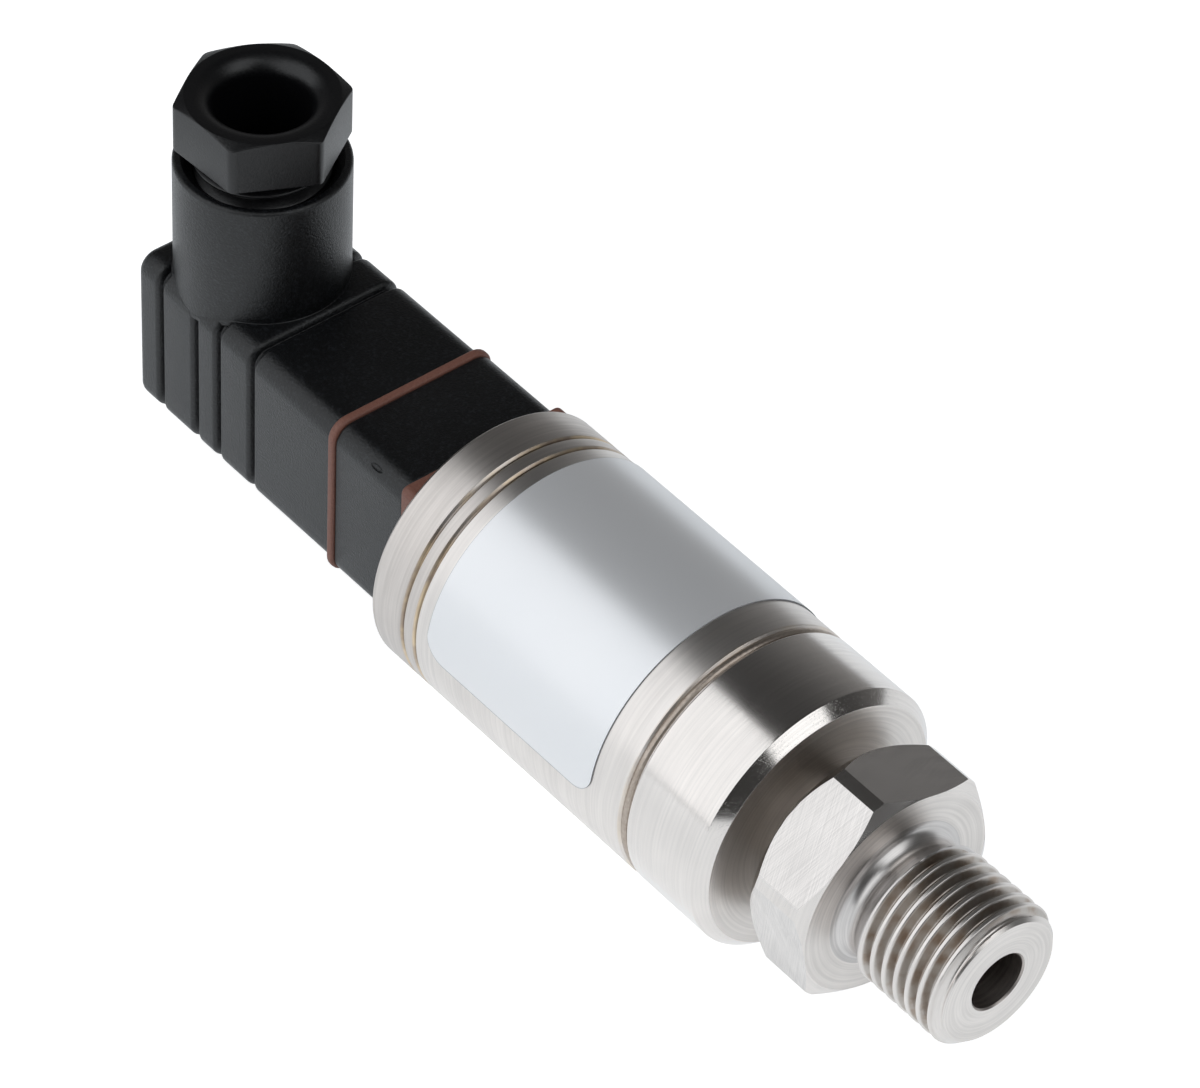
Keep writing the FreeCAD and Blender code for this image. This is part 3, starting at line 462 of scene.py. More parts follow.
# The bore's tones are darker than the outer steel's: painted shade inside the hole.
bore_steel = steel(
    "bore_steel", roughness=0.42, groove_size=0.30, relief=0.020, streak=0.10,
    tones=BORE_STEEL, lines=0.6)
weld_steel = steel(
    "weld_steel", roughness=0.38, groove_size=0.30, relief=0.008, streak=0.1, lay=30.0,
    tones=WELD_STEEL)
print("turned and brushed steels ready")

# %% [markdown]
# A milled flat shows two crossing families of fine scratches. They have to lie in the plane of each
# flat, so the finish works out from the angle about the axis which flat a point is on, and measures
# the point along that flat.

# %% Milled flats
HEX_TURN = math.radians(11.8)
SIXTH = math.pi / 3
SCRATCH_ANGLES = math.radians(68), math.radians(104)
SCRATCH_LENGTH, SCRATCH_WIDTH = 6.0, 0.11
FLAT_SHIFT = 7.0
MILLED_STEEL = colour(234, 229, 225), colour(190, 186, 183)

milled = Finish("milled_steel", Metallic=1.0)
x, y, z = milled.place()
side = ((z.angle_from(y) - HEX_TURN) / SIXTH).nearest()
facing = side * SIXTH + HEX_TURN
along = z * facing.cosine() - y * facing.sine()
scratch = 0.0
for angle in SCRATCH_ANGLES:
    run = x * math.cos(angle) + along * math.sin(angle)
    cross = along * math.cos(angle) - x * math.sin(angle)
    spot = run / SCRATCH_LENGTH, cross / SCRATCH_WIDTH, side * FLAT_SHIFT
    scratch = scratch + milled.noise(spot, 1.0, detail=3.0, roughness=0.6) * 0.5
cloud = milled.noise((x, y, z), 0.3, detail=3.0)
milled.feed("Base Color", milled.mix(scratch.step(0.3, 0.7) * 0.6 + cloud * 0.4, *MILLED_STEEL))
milled.feed("Roughness", scratch * 0.12 + cloud * 0.08 + 0.1)
milled.bump(scratch, 0.006)
milled_steel = milled.material
print("milled steel ready")

# %% [markdown]
# The plug is glass-filled nylon from a spark-eroded mould, so its black skin has a fine even grain
# that turns grey where light grazes it. The gland screw comes from a polished mould and is
# smoother. The seals are red-brown silicone with a dull, slightly dusty surface. A grain could be
# real displacement, but it is finer than any mesh here, so bump is enough.

# %% Plastic and rubber finishes
FLECK_SCALE, TONE_SCALE = 3.6, 0.18
GRAIN_GLOSS, TONE_GLOSS = 0.08, 0.06


def moulded(name, dark, pale, grain, relief, roughness, fleck=None, shine=0.5):
    """Moulded plastic or rubber: a fine grain of one size in millimetres over broad, faint changes
    of tone, and pale flecks of filler. Shine is the level of its mirror reflection."""
    finish = Finish(name, Specular_IOR_Level=shine)
    x, y, z = finish.place()
    fine = finish.noise((x, y, z), 1 / grain, detail=3.0, roughness=0.7).step(0.25, 0.75)
    broad = finish.noise((x, y, z), TONE_SCALE, detail=3.0)
    shade = finish.mix(fine * 0.5 + broad * 0.5, dark, pale)
    if fleck:
        filler = finish.noise((x, y, z), FLECK_SCALE, detail=2.0, roughness=0.7, extra=3.0)
        shade = finish.mix(filler.step(0.5, 0.68), shade, fleck)
    finish.feed("Base Color", shade)
    mean_gloss = (GRAIN_GLOSS + TONE_GLOSS) / 2
    finish.feed("Roughness", fine * GRAIN_GLOSS + broad * TONE_GLOSS + (roughness - mean_gloss))
    finish.bump(fine, relief)
    return finish.material


grained_nylon = moulded(
    "grained_nylon", colour(2, 3, 4), colour(9, 10, 12), grain=0.22, relief=0.022, roughness=0.33,
    fleck=colour(30, 32, 35))
smooth_nylon = moulded(
    "smooth_nylon", colour(4, 4, 6), colour(13, 13, 15), grain=0.2, relief=0.007, roughness=0.34)
insert_nylon = moulded(
    "insert_nylon", colour(40, 41, 43), colour(52, 53, 55), grain=0.2, relief=0.01, roughness=0.5)
silicone = moulded(
    "silicone", colour(114, 73, 61), colour(144, 101, 87), grain=0.2, relief=0.012, roughness=0.5,
    shine=0.4)
soft_rubber = moulded(
    "soft_rubber", colour(16, 16, 17), colour(28, 28, 29), grain=0.25, relief=0.015, roughness=0.68)
laminate = moulded(
    "laminate", colour(24, 74, 44), colour(36, 96, 58), grain=0.3, relief=0.004, roughness=0.35)
ceramic = moulded(
    "ceramic", colour(150, 120, 88), colour(172, 142, 108), grain=0.3, relief=0.004, roughness=0.5)
insulation = moulded(
    "insulation", colour(150, 34, 28), colour(172, 46, 38), grain=0.3, relief=0.006, roughness=0.5)
wafer = moulded(
    "wafer", colour(66, 66, 74), colour(92, 92, 102), grain=0.3, relief=0.002, roughness=0.3)
print("plastic and rubber finishes ready")

# %% [markdown]
# The label is a satin polyester film with a silvery sheen, which lies between white paper and
# metal, so it is half metallic. The pins and screws are plated, with a faint grain.

# %% Film and plated finishes
FILM_WHITE = colour(249, 249, 250), colour(243, 244, 246)
FIBRE_SCALE, FILM_TONE_SCALE, PLATE_SCALE = 4.0, 0.12, 5.0

film = Finish("label_film", Metallic=0.5)
x, y, z = film.place()
fibre = film.noise((x, y, z), FIBRE_SCALE, detail=3.0)
broad = film.noise((x, y, z), FILM_TONE_SCALE, detail=2.0)
film.feed("Base Color", film.mix(broad * 0.6 + fibre * 0.2, *FILM_WHITE))
film.feed("Roughness", fibre * 0.04 + broad * 0.04 + 0.29)
film.bump(fibre, 0.0012)
label_film = film.material
label_edge = moulded(
    "label_edge", colour(150, 152, 156), colour(178, 180, 184), grain=0.3, relief=0.002, roughness=0.5)


def plated(name, tone, shadow, roughness):
    """Plated metal with a faint grain."""
    finish = Finish(name, Metallic=1.0)
    x, y, z = finish.place()
    fine = finish.noise((x, y, z), PLATE_SCALE, detail=3.0)
    finish.feed("Base Color", finish.mix(fine, tone, shadow))
    finish.feed("Roughness", fine * 0.08 + (roughness - 0.04))
    finish.bump(fine, 0.002)
    return finish.material


tinned_brass = plated("tinned_brass", colour(214, 206, 186), colour(188, 176, 150), roughness=0.22)
zinc_steel = plated("zinc_steel", colour(200, 202, 206), colour(168, 170, 176), roughness=0.23)
bond_wire = plated("bond_wire", colour(228, 184, 96), colour(200, 152, 70), roughness=0.22)
print("film and plated finishes ready")

# %% [markdown]
# CAD pieces that the plug hides keep their own meshes, and come into sight when it is pulled off.
# Each takes the finish of its material slot in the record.

# %% Finishes for the carried-over pieces
SLOT_FINISH = {
    "stainless": turned_steel, "label_film": label_film, "gauge_wafer": wafer,
    "gold_wire": bond_wire, "moulded_black": grained_nylon, "board_laminate": laminate,
    "chip_resin": smooth_nylon, "capacitor_ceramic": ceramic, "wire_insulation": insulation,
    "silicone_seal": silicone, "contact_metal": tinned_brass, "screw_steel": zinc_steel,
    "insert_resin": insert_nylon, "gland_rubber": soft_rubber, "slip_resin": insert_nylon,
}
for subpart in frame["record"]["subparts"]:
    node = frame["nodes"][subpart["node"]]
    node.data.materials.clear()
    node.data.materials.append(SLOT_FINISH[subpart["material_slot"]])
print(len(frame["nodes"]), "CAD nodes have a finish")

# %% [markdown]
# The thread is a right-hand pipe thread with rounded roots, and crests that are turned off to a
# narrow flat. A screw modifier could sweep one tooth, but its ends would have to be trimmed by hand.
# Here the radius is a function of the place along and around the axis, so the smallest of three
# radii is the thread, the chamfer at its end and the shoulder at its root. The rows of points climb
# with the helix, so its edges stay crisp.

# %% Thread helpers
def tooth(offset, pitch, flank, round_share, crest):
    """Radius of a rounded thread at an axial offset from a crest."""
    rounding = round_share * pitch
    offset = abs((offset / pitch + 0.5) % 1 - 0.5) * pitch
    depth = (pitch / 2 - 2 * rounding * math.cos(flank)) / math.tan(flank)
    bow = rounding * (1 - math.sin(flank))
    if offset <= rounding * math.cos(flank):
        return crest - rounding + math.sqrt(rounding ** 2 - offset ** 2)
    if offset >= pitch / 2 - rounding * math.cos(flank):
        root = crest - depth - 2 * bow
        return root + rounding - math.sqrt(rounding ** 2 - (pitch / 2 - offset) ** 2)
    return crest - bow - (offset - rounding * math.cos(flank)) / math.tan(flank)


def tooth_stations(low, high, crest_place, pitch, flank, round_share, steps=7):
    """Places along the axis at which a tooth bends, from one pitch below low to high."""
    turn = np.linspace(flank - math.pi / 2, math.pi / 2 - flank, steps + 1)
    arc = round_share * pitch * np.sin(turn)
    slope = np.linspace(arc[-1], pitch / 2 - arc[-1], 5)[1:-1]
    tooth_places = np.concatenate([arc, slope, pitch / 2 + arc, pitch / 2 + slope])
    first = math.floor((low - crest_place) / pitch) - 2
    last = math.ceil((high - crest_place) / pitch) + 1
    places = np.concatenate([crest_place + k * pitch + tooth_places for k in range(first, last)])
    return places[(places > low - 1.1 * pitch) & (places < high + 0.1 * pitch)]


def helix_rows(stations, pitch, angles, low, high, point):
    """Rows that climb with the thread from stations at the first angle, kept from low to high."""
    rows = []
    for station in stations:
        row = []
        for a in angles:
            place = station + pitch * (a - angles[0]) / FULL_TURN
            row.append(point(float(np.clip(place, low, high)), a))
        rows.append(row)
    return rows


print("thread helpers ready")

# %% Pipe thread
PITCH = 1.337
FLANK_ANGLE = math.radians(27.5)
PIPE_ROUND, CREST_FLAT = 0.1373, 0.07
THREAD_END, THREAD_START = 12.0, 1.3
FULL_FROM, FULL_TO = 3.0, 11.2
CREST_PLACE, CREST_ANGLE = 2.95, math.radians(125)
GROOVE_START = math.radians(305)
ENTRY_LEAD, ENTRY_LENGTH = 0.25, 0.35
NECK_RADIUS, NECK_SLOPE, NECK_BEND = 5.5985, 0.68, 0.35
END_EDGE_RADIUS, RUN_OUT = 5.74, 1.35


def pipe_point(x, angle):
    """A point of the port at the thread: its neck, the groove that starts there, and the end
    chamfer, in which the roots run out."""
    turn = (angle - GROOVE_START) / FULL_TURN % 1
    helix = x - CREST_PLACE - PITCH * (turn - (CREST_ANGLE - GROOVE_START) / FULL_TURN % 1)
    started = math.floor(helix / PITCH) + turn
    entry = min(max((started + ENTRY_LEAD) / ENTRY_LENGTH, 0), 1)
    full = tooth(helix, PITCH, FLANK_ANGLE, PIPE_ROUND, CREST_RADIUS + CREST_FLAT)
    groove = CREST_RADIUS - min(full, CREST_RADIUS)
    rise = x - THREAD_START
    bend = rise - NECK_BEND / 2 if rise > NECK_BEND else rise ** 2 / (2 * NECK_BEND)
    shoulder = NECK_RADIUS + NECK_SLOPE * bend
    chamfer = END_EDGE_RADIUS + THREAD_END - x
    thread = min(CREST_RADIUS - groove * entry ** 2 * (3 - 2 * entry), shoulder, chamfer)
    return polar(x, max(thread, chamfer - RUN_OUT * (THREAD_END - x)), angle)


thread_angles = HEX_TURN + np.linspace(0, FULL_TURN, SEGMENTS + 1)


def plain_rows(low, high, count):
    """Rows square to the axis, before and after those that climb."""
    return [[pipe_point(x, a) for a in thread_angles] for x in np.linspace(low, high, count)]


first_crest = CREST_PLACE + PITCH * (HEX_TURN - CREST_ANGLE) / FULL_TURN
stations = tooth_stations(FULL_FROM, FULL_TO, first_crest, PITCH, FLANK_ANGLE, PIPE_ROUND)
thread_rows = helix_rows(stations, PITCH, thread_angles, FULL_FROM, FULL_TO, pipe_point)
shoulder_rows = plain_rows(THREAD_START, FULL_FROM, 41)
chamfer_rows = plain_rows(FULL_TO, THREAD_END, 17)
print(f"thread of {len(thread_rows)} rows")

# %% [markdown]
# The port is one turned bar with six milled flats. Each ring has columns for the flats and columns
# for the lands between them. Where a ring is narrower than the flats, the flat columns fall together
# and are merged, so the hexagon grows out of the round bar without any cutting.

# %% Rings of the port
FLAT = 9.5
FLAT_COLUMNS, LAND_COLUMNS = 12, 24
HEX_FRONT, HEX_BACK = 0.0, -6.5


def port_ring(x, radius):
    """A ring of the port, which follows the flats where the hexagon is."""
    milled_here = HEX_BACK <= x <= HEX_FRONT and radius > FLAT
    half = math.acos(FLAT / radius) if milled_here else 0.0
    ring = []
    for side in range(6):
        middle = HEX_TURN + side * SIXTH
        for turn in np.linspace(-half, half, FLAT_COLUMNS + 1):
            reach = FLAT / math.cos(turn) if milled_here else radius
            ring.append(polar(x, reach, middle + turn))
        for turn in np.linspace(half, SIXTH - half, LAND_COLUMNS + 1)[1:-1]:
            ring.append(polar(x, radius, middle + turn))
    return ring


def port_rings(profile):
    """Rings of the port for a profile of (x, radius)."""
    return [port_ring(x, r) for x, r in profile]


print(f"port rings have {len(port_ring(HEX_FRONT, FLAT))} points")

# %% Profiles of the port
LAND_RADIUS, FRONT_CONE, BACK_CONE = 10.65, -0.664, -5.35
WAIST_RADIUS, BODY_FRONT = 5.0, -9.2
FACE_RADIUS, BAND_EDGE, BAND_REAR, TURNED_FROM = 11.5, 0.06, -10.2, -10.4
BODY_RADIUS = 12.5
WELD_FLOOR, WELD_TOP, WELD_FOOT = 12.2, 0.55, 0.35
SPIGOT_RADIUS, SPIGOT_REAR = 11.25, -21.2
CELL_SEAT, BORE_END = 7.05, -16.6
INLET_RADIUS, INLET_CHAMFER = 2.65, 0.14


def weld_wall(side):
    """One side of the front weld's groove, from the surface down to its floor."""
    return [(FRONT_WELD + side * WELD_TOP, BODY_RADIUS, 0.1),
            (FRONT_WELD + side * WELD_FOOT, WELD_FLOOR + 0.02, 0.05), (FRONT_WELD, WELD_FLOOR)]


neck = [(THREAD_START * (1 - math.sin(a)), NECK_RADIUS + THREAD_START * (1 - math.cos(a)))
        for a in np.linspace(0, math.pi / 2, 13)]
front_face = [(HEX_FRONT, r) for r in np.linspace(neck[-1][1], FLAT, 5)]
front_cone = np.linspace((HEX_FRONT, FLAT), (FRONT_CONE, LAND_RADIUS), 9)
back_cone = np.linspace((BACK_CONE, LAND_RADIUS), (HEX_BACK, FLAT), 9)
back_face = [(HEX_BACK, r) for r in np.linspace(FLAT, WAIST_RADIUS, 5)]
waist = [(HEX_BACK, WAIST_RADIUS), (BODY_FRONT, WAIST_RADIUS)]
body_face = [(BODY_FRONT, r) for r in np.linspace(WAIST_RADIUS, FACE_RADIUS - BAND_EDGE, 8)]
bright_band = rounded([
    body_face[-1], (BODY_FRONT, FACE_RADIUS, BAND_EDGE), (BAND_REAR, BODY_RADIUS, BAND_EDGE),
    (TURNED_FROM, BODY_RADIUS)])
front_body = rounded([(TURNED_FROM, BODY_RADIUS), *weld_wall(1)])
inside = [
    (FRONT_WELD, WELD_FLOOR), (FRONT_WELD, SPIGOT_RADIUS), (SPIGOT_REAR, SPIGOT_RADIUS),
    (SPIGOT_REAR, CELL_SEAT), (BORE_END, CELL_SEAT), (BORE_END, INLET_RADIUS),
    (THREAD_END - INLET_CHAMFER, INLET_RADIUS), (THREAD_END, INLET_RADIUS + INLET_CHAMFER)]
end_face = [[(THREAD_END, r * y, r * z) for _, y, z in port_ring(THREAD_END, 1.0)]
            for r in np.linspace(inside[-1][1], END_EDGE_RADIUS, 5)]
print(f"front of the body from {BODY_FRONT} to {FRONT_WELD} mm")

# %% Pressure port
PORT_FINISHES = (turned_steel, faced_steel, bright_steel, milled_steel, thread_steel, recess_shade_steel,
                 neck_steel, bore_steel)
TURNED, FACED, BRIGHT, MILLED, THREAD, RECESS_SHADE, NECK, BORE = range(len(PORT_FINISHES))


def hexagon_finish(row, place):
    """Milled on the flats, and turned on the lands between them."""
    return MILLED if place % (FLAT_COLUMNS + LAND_COLUMNS) < FLAT_COLUMNS else TURNED


port = Skin()
for rows, number in ((chamfer_rows, THREAD), (thread_rows, THREAD), (shoulder_rows, NECK)):
    port.grid(rows, wrap=False, finish=number)
port.grid([port_ring(THREAD_START, NECK_RADIUS), *port_rings(neck)], finish=NECK)
port.grid(port_rings([*front_cone, *back_cone]), finish=hexagon_finish)
for profile, number in (
        (front_face, FACED), (back_face, RECESS_SHADE), (waist, RECESS_SHADE), (body_face, FACED),
        (bright_band, BRIGHT), (front_body, TURNED), (inside, BORE)):
    port.grid(port_rings(profile), finish=number)
port.grid(end_face, finish=FACED)
port_mesh = port.mesh("pressure_port_skin", *PORT_FINISHES)
place_piece("pressure_port_skin", port_mesh, "sensor_body", "pressure_port")

# %% [markdown]
# The sleeve, the narrow ring and the end cap are tubes that meet in welded seams. Their edges are
# broken a little, so each seam is a groove with two bright edges. The seams could be cut into one
# tube, but three turned tubes are how the real body is put together, and need no cutting.

# %% Sleeve, ring and cap
SEAM_FLOOR, SEAM_TOP, SEAM_FOOT = 12.3, 0.25, 0.08
SLEEVE_BORE, RING_BORE = 11.3, 9.5
CAP_REAR, CAP_WEB, CAP_HOLE, CAP_CHAMFER = -51.1, -49.1, 5.975, 0.3


def seam_wall(seam, side):
    """One side of a rear seam's groove, from the surface down to its floor."""
    return [(seam + side * SEAM_TOP, BODY_RADIUS, 0.1),
            (seam + side * SEAM_FOOT, SEAM_FLOOR, 0.08), (seam, SEAM_FLOOR)]


def turned_piece(name, profile, node, look):
    """A tube turned about the sensor axis from a closed profile of (x, radius)."""
    profile = rounded(profile)
    rows = [[polar(x, r, a) for a in round_angles(SEGMENTS)] for x, r in [*profile, profile[0]]]
    place_piece(name, Skin().grid(rows).mesh(name, look), "sensor_body", node)


first_seam, last_seam = REAR_SEAMS
sleeve = [(FRONT_WELD, SLEEVE_BORE), *weld_wall(-1)[::-1], *seam_wall(first_seam, 1),
          (first_seam, SLEEVE_BORE)]
ring = [(first_seam, RING_BORE), *seam_wall(first_seam, -1)[::-1], *seam_wall(last_seam, 1),
        (last_seam, RING_BORE)]
cap = [(last_seam, SLEEVE_BORE), *seam_wall(last_seam, -1)[::-1],
       (CAP_REAR + CAP_CHAMFER, BODY_RADIUS, 0.15), (CAP_REAR, BODY_RADIUS - CAP_CHAMFER, 0.1),
       (CAP_REAR, CAP_HOLE), (CAP_WEB, CAP_HOLE), (CAP_WEB, SLEEVE_BORE)]
turned_piece("sleeve_skin", sleeve, "housing_sleeve", brushed_steel)
turned_piece("joint_ring_skin", ring, "joint_ring", cap_steel)
turned_piece("end_cap_skin", cap, "end_cap", cap_steel)

# %% [markdown]
# The front weld is wider than the seams at the rear: a bead of filler lies in its groove, with slow
# ripples where the torch went round. A bump would give the ripples, but not the bead's own round
# back, which catches the light. So the bead is a half round swept about the axis.

# %% Front weld
BEAD_PLACE, BEAD_HALF, BEAD_SWAY = -18.7, 0.33, 0.02
BEAD_FOOT, BEAD_UNDER = 12.21, 12.15
BEAD_RISE, BEAD_RIPPLE, RIPPLES = 0.21, 0.012, 131

bead_angles = round_angles(3 * SEGMENTS)
bead_rows = []
for turn in np.linspace(0, math.pi, 9):
    row = []
    for a in bead_angles:
        x = BEAD_PLACE + BEAD_HALF * math.cos(turn) + BEAD_SWAY * math.sin(9 * a)
        ripple = BEAD_RIPPLE * math.sin(RIPPLES * a + 2 * math.sin(5 * a))
        row.append(polar(x, BEAD_FOOT + math.sin(turn) * (BEAD_RISE + ripple), a))
    bead_rows.append(row)
bead_underside = [polar(BEAD_PLACE, BEAD_UNDER, a) for a in bead_angles]
bead = Skin().grid([*bead_rows, bead_underside, bead_rows[0]])
place_piece("front_weld", bead.mesh("front_weld", weld_steel), "sensor_body")

# %% [markdown]
# The label is a thin silver-white film with rounded corners, left bare here. A shrinkwrapped plane
# would do, but its rows can be laid on the cylinder directly: each row runs round the sleeve, and
# the rows near both ends are shorter by the corner's curve. The outermost cells of its top are
# grey, a hairline all round the edge.

# %% Label
LABEL_FRONT, LABEL_REAR = -22.7, -43.6
LABEL_OUTER, LABEL_INNER = 12.615, 12.52
LABEL_LOW, LABEL_HIGH = math.radians(181), math.radians(-59)
CORNER, HAIRLINE = 2.2, 0.06
EDGE_SHARE = HAIRLINE / 52
INNER_SHARE, LABEL_COLUMNS = 0.006, 121

end_arc = CORNER * (1 - np.cos(np.linspace(0, math.pi / 2, 11)))
end_steps = np.unique(np.round(np.concatenate([[0, HAIRLINE], end_arc[1:]]), 6))
label_places = np.concatenate([LABEL_FRONT - end_steps, (LABEL_REAR + end_steps)[::-1]])
label_share = np.concatenate([
    [0, EDGE_SHARE], np.linspace(INNER_SHARE, 1 - INNER_SHARE, LABEL_COLUMNS), [1 - EDGE_SHARE, 1]])


def label_rows(radius):
    """Rows of the film round the sleeve at one radius."""
    rows = []
    for x in label_places:
        end = CORNER - min(LABEL_FRONT - x, x - LABEL_REAR, CORNER)
        inset = (CORNER - math.sqrt(CORNER ** 2 - end ** 2)) / LABEL_OUTER
        angles = (LABEL_LOW - inset) + (LABEL_HIGH - LABEL_LOW + 2 * inset) * label_share
        rows.append([polar(x, radius, a) for a in angles])
    return rows


label_top, label_under = label_rows(LABEL_OUTER), label_rows(LABEL_INNER)
last_row, last_place = len(label_places) - 2, len(label_share) - 2


def hairline_finish(row, place):
    """1 for the cut edge in the outermost cells, and 0 for the film."""
    return int(row in (0, last_row) or place in (0, last_place))


label = Skin()
label.grid(label_top, wrap=False, finish=hairline_finish)
label.grid(label_under, wrap=False, finish=1)
for edge in (0, -1):
    label.grid([label_top[edge], label_under[edge]], wrap=False, finish=1)
    side_rows = [[row[edge] for row in layer] for layer in (label_top, label_under)]
    label.grid(side_rows, wrap=False, finish=1)
label_mesh = label.mesh("label_film", label_film, label_edge)
place_piece("label_film", label_mesh, "sensor_body", "type_label")

# %% [markdown]
# The connector's shells are square with rounded long edges. Each is a loft of rounded squares, so
# its grooves and edge rounds are just steps of the square's half width. Pin slots and small marks
# are cut afterwards with exact Booleans, because they cross flat faces only.

# %% Square lofts
SHELL_Y, SHELL_Z = 0.35, 0.3
CORNER_STEPS, SIDE_STEPS = 8, 8
LONG_EDGE = 1.8
QUARTER = math.pi / 2


def square_ring(x, half, corner=LONG_EDGE):
    """A rounded square about the shells' own axis."""
    reach = (half - corner) * math.sqrt(2)
    run = 2 * (half - corner)
    ring = []
    for quarter in range(4):
        turn = quarter * QUARTER
        centre_y = math.cos(turn + math.pi / 4) * reach
        centre_z = math.sin(turn + math.pi / 4) * reach
        for a in np.linspace(0, QUARTER, CORNER_STEPS + 1):
            spoke = turn + a
            ring.append((centre_y + corner * math.cos(spoke), centre_z + corner * math.sin(spoke)))
        y, z = ring[-1]
        for share in np.linspace(0, 1, SIDE_STEPS + 1)[1:-1]:
            ring.append((y - math.cos(turn) * run * share, z - math.sin(turn) * run * share))
    return [(x, SHELL_Y + y, SHELL_Z + z) for y, z in ring]


SQUARE_SPOKES = [math.atan2(z, y) for _, y, z in square_ring(0, 8.0)]


def round_ring(x, radius):
    """A circle about the sensor axis with a point on each spoke of the square."""
    return [polar(x, radius, a) for a in SQUARE_SPOKES]


print(f"squares have {len(SQUARE_SPOKES)} points")

# %% Cutting tools
BLADE_REACH = 4.375
BLADE_SIDES = (0, 1), (1, 0), (0, -1), (-1, 0)
BAR_CORNERS = (-1, -1), (1, -1), (1, 1), (-1, 1)


def carve(mesh, operation, *tools):
    """Cut tools out of a mesh, or join them to it, and give the new mesh."""
    carrier = bpy.data.objects.new(mesh.name, mesh)
    scene.collection.objects.link(carrier)
    helpers = [carrier]
    for tool in tools:
        helper = bpy.data.objects.new(tool.name, tool)
        scene.collection.objects.link(helper)
        helpers.append(helper)
        step = carrier.modifiers.new(tool.name, "BOOLEAN")
        step.operation = operation
        step.object = helper
        step.solver = "EXACT"
    bpy.context.view_layer.update()
    carved = bpy.data.meshes.new_from_object(
        carrier.evaluated_get(bpy.context.evaluated_depsgraph_get()))
    carved.name = mesh.name
    for helper in helpers:
        bpy.data.objects.remove(helper)
    return carved


def bar(name, x0, x1, y, z, width, height):
    """A plain bar along X, to cut with."""
    corners = [(y + sy * width / 2, z + sz * height / 2) for sy, sz in BAR_CORNERS]
    rows = [[(x, cy, cz) for cy, cz in corners] for x in (x0, x1)]
    middle = [[(x, y, z)] * 4 for x in (x0, x1)]
    return Skin().grid([middle[0], *rows, middle[1]]).mesh(name)


def blade_bars(x0, x1, width, thick):
    """Bars for the slots of the four flat pins."""
    bars = []
    for index, (y, z) in enumerate(BLADE_SIDES):
        size_y, size_z = (width, thick) if z else (thick, width)
        bars.append(bar(
            f"slot_{index}", x0, x1, y * BLADE_REACH, z * BLADE_REACH, size_y, size_z))
    return bars


def dimple(name, place, length, width):
    """A pointed oval along X, to press a shallow mark with."""
    rows = []
    for turn in np.linspace(0, math.pi, 13):
        x = place[0] + length / 2 * math.cos(turn)
        r = width / 2 * math.sin(turn)
        rows.append([(x, place[1] + r * math.cos(a), place[2] + r * math.sin(a))
                     for a in round_angles(24)])
    return Skin().grid(rows).mesh(name)


print(f"slots for {len(BLADE_SIDES)} pins")

# %% [markdown]
# Two brown silicone seals lie on the ends of the plug base, where they keep water out. Squeezed
# between hard parts, they bulge a little at the edge. A cloth or soft-body run could squeeze them,
# but the bulge is only a soft round on a flat plate, so each seal is a loft with a large edge round.

# %% Seals
SEAL_HALF, SEAL_BULGE = 8.475, 0.28
BASE_FRONT, PLUG_FACE, SOCKET_FRONT = -52.9, -61.85, -62.7
SEAL_CORNER, SEAL_SCREW_HOLE = 0.7, 2.1
SEAL_CUT, SEAL_SLOT = (-61.4, -63.2), (3.2, 0.9)


def flat_seal(name, front, rear, hole, node, corner, cuts=()):
    """A flat seal, squeezed to a soft bulge at its edge."""
    edge = rounded([(front, SEAL_HALF - 1), (front, SEAL_HALF, SEAL_BULGE),
                    (rear, SEAL_HALF, SEAL_BULGE), (rear, SEAL_HALF - 1)])
    squares = [square_ring(x, half, max(corner + half - SEAL_HALF, 0.05)) for x, half in edge]
    rows = [round_ring(front, hole), *squares, round_ring(rear, hole)]
    mesh = Skin().grid(rows + rows[:1]).mesh(name, silicone)
    if cuts:
        mesh = carve(mesh, "DIFFERENCE", *cuts)
    place_piece(name, mesh, "sensor_body", node)


flat_seal("base_seal", CAP_REAR, BASE_FRONT, CAP_HOLE, "base_gasket", SEAL_CORNER)
flat_seal("plug_seal", PLUG_FACE, SOCKET_FRONT, SEAL_SCREW_HOLE, "interface_gasket", LONG_EDGE,
          blade_bars(*SEAL_CUT, *SEAL_SLOT))

# %% [markdown]
# The plug base is a moulded block with a round spigot that enters the end cap. Flat pins stand in
# four slots round a hole for the central screw, and one side carries a small oval mould mark. A
# loft gives the block, the spigot and the hole in one run, and only the slots and the mark are cut.

# %% Plug base
BASE_HALF, BASE_FACE, BASE_EDGE = 8.275, 7, 0.25
BASE_SPIGOT, BASE_SPIGOT_END = 5.925, -49.3
INSERT_HOLE, INSERT_HOLE_END = 2.15, -55.2
BASE_CUT, BASE_SLOT = (-48, -62.4), (2.9, 0.6)
MARK_PLACE, MARK_LENGTH, MARK_WIDTH = (-56.7, -7.66, 7.9), 1.6, 0.6

base_edge = rounded([(BASE_FRONT, BASE_FACE), (BASE_FRONT, BASE_HALF, BASE_EDGE),
                     (PLUG_FACE, BASE_HALF, BASE_EDGE), (PLUG_FACE, BASE_FACE)])
base_rows = [round_ring(BASE_SPIGOT_END, 0), round_ring(BASE_SPIGOT_END, BASE_SPIGOT),
             round_ring(BASE_FRONT, BASE_SPIGOT)]
base_rows += [square_ring(x, half, LONG_EDGE + half - BASE_HALF) for x, half in base_edge]
base_rows += [round_ring(PLUG_FACE, INSERT_HOLE), round_ring(INSERT_HOLE_END, INSERT_HOLE),
              round_ring(INSERT_HOLE_END, 0)]
base_mesh = Skin().grid(base_rows).mesh("plug_base_skin", grained_nylon)
mould_mark = dimple("mould_mark", MARK_PLACE, MARK_LENGTH, MARK_WIDTH)
base_mesh = carve(base_mesh, "DIFFERENCE", mould_mark, *blade_bars(*BASE_CUT, *BASE_SLOT))
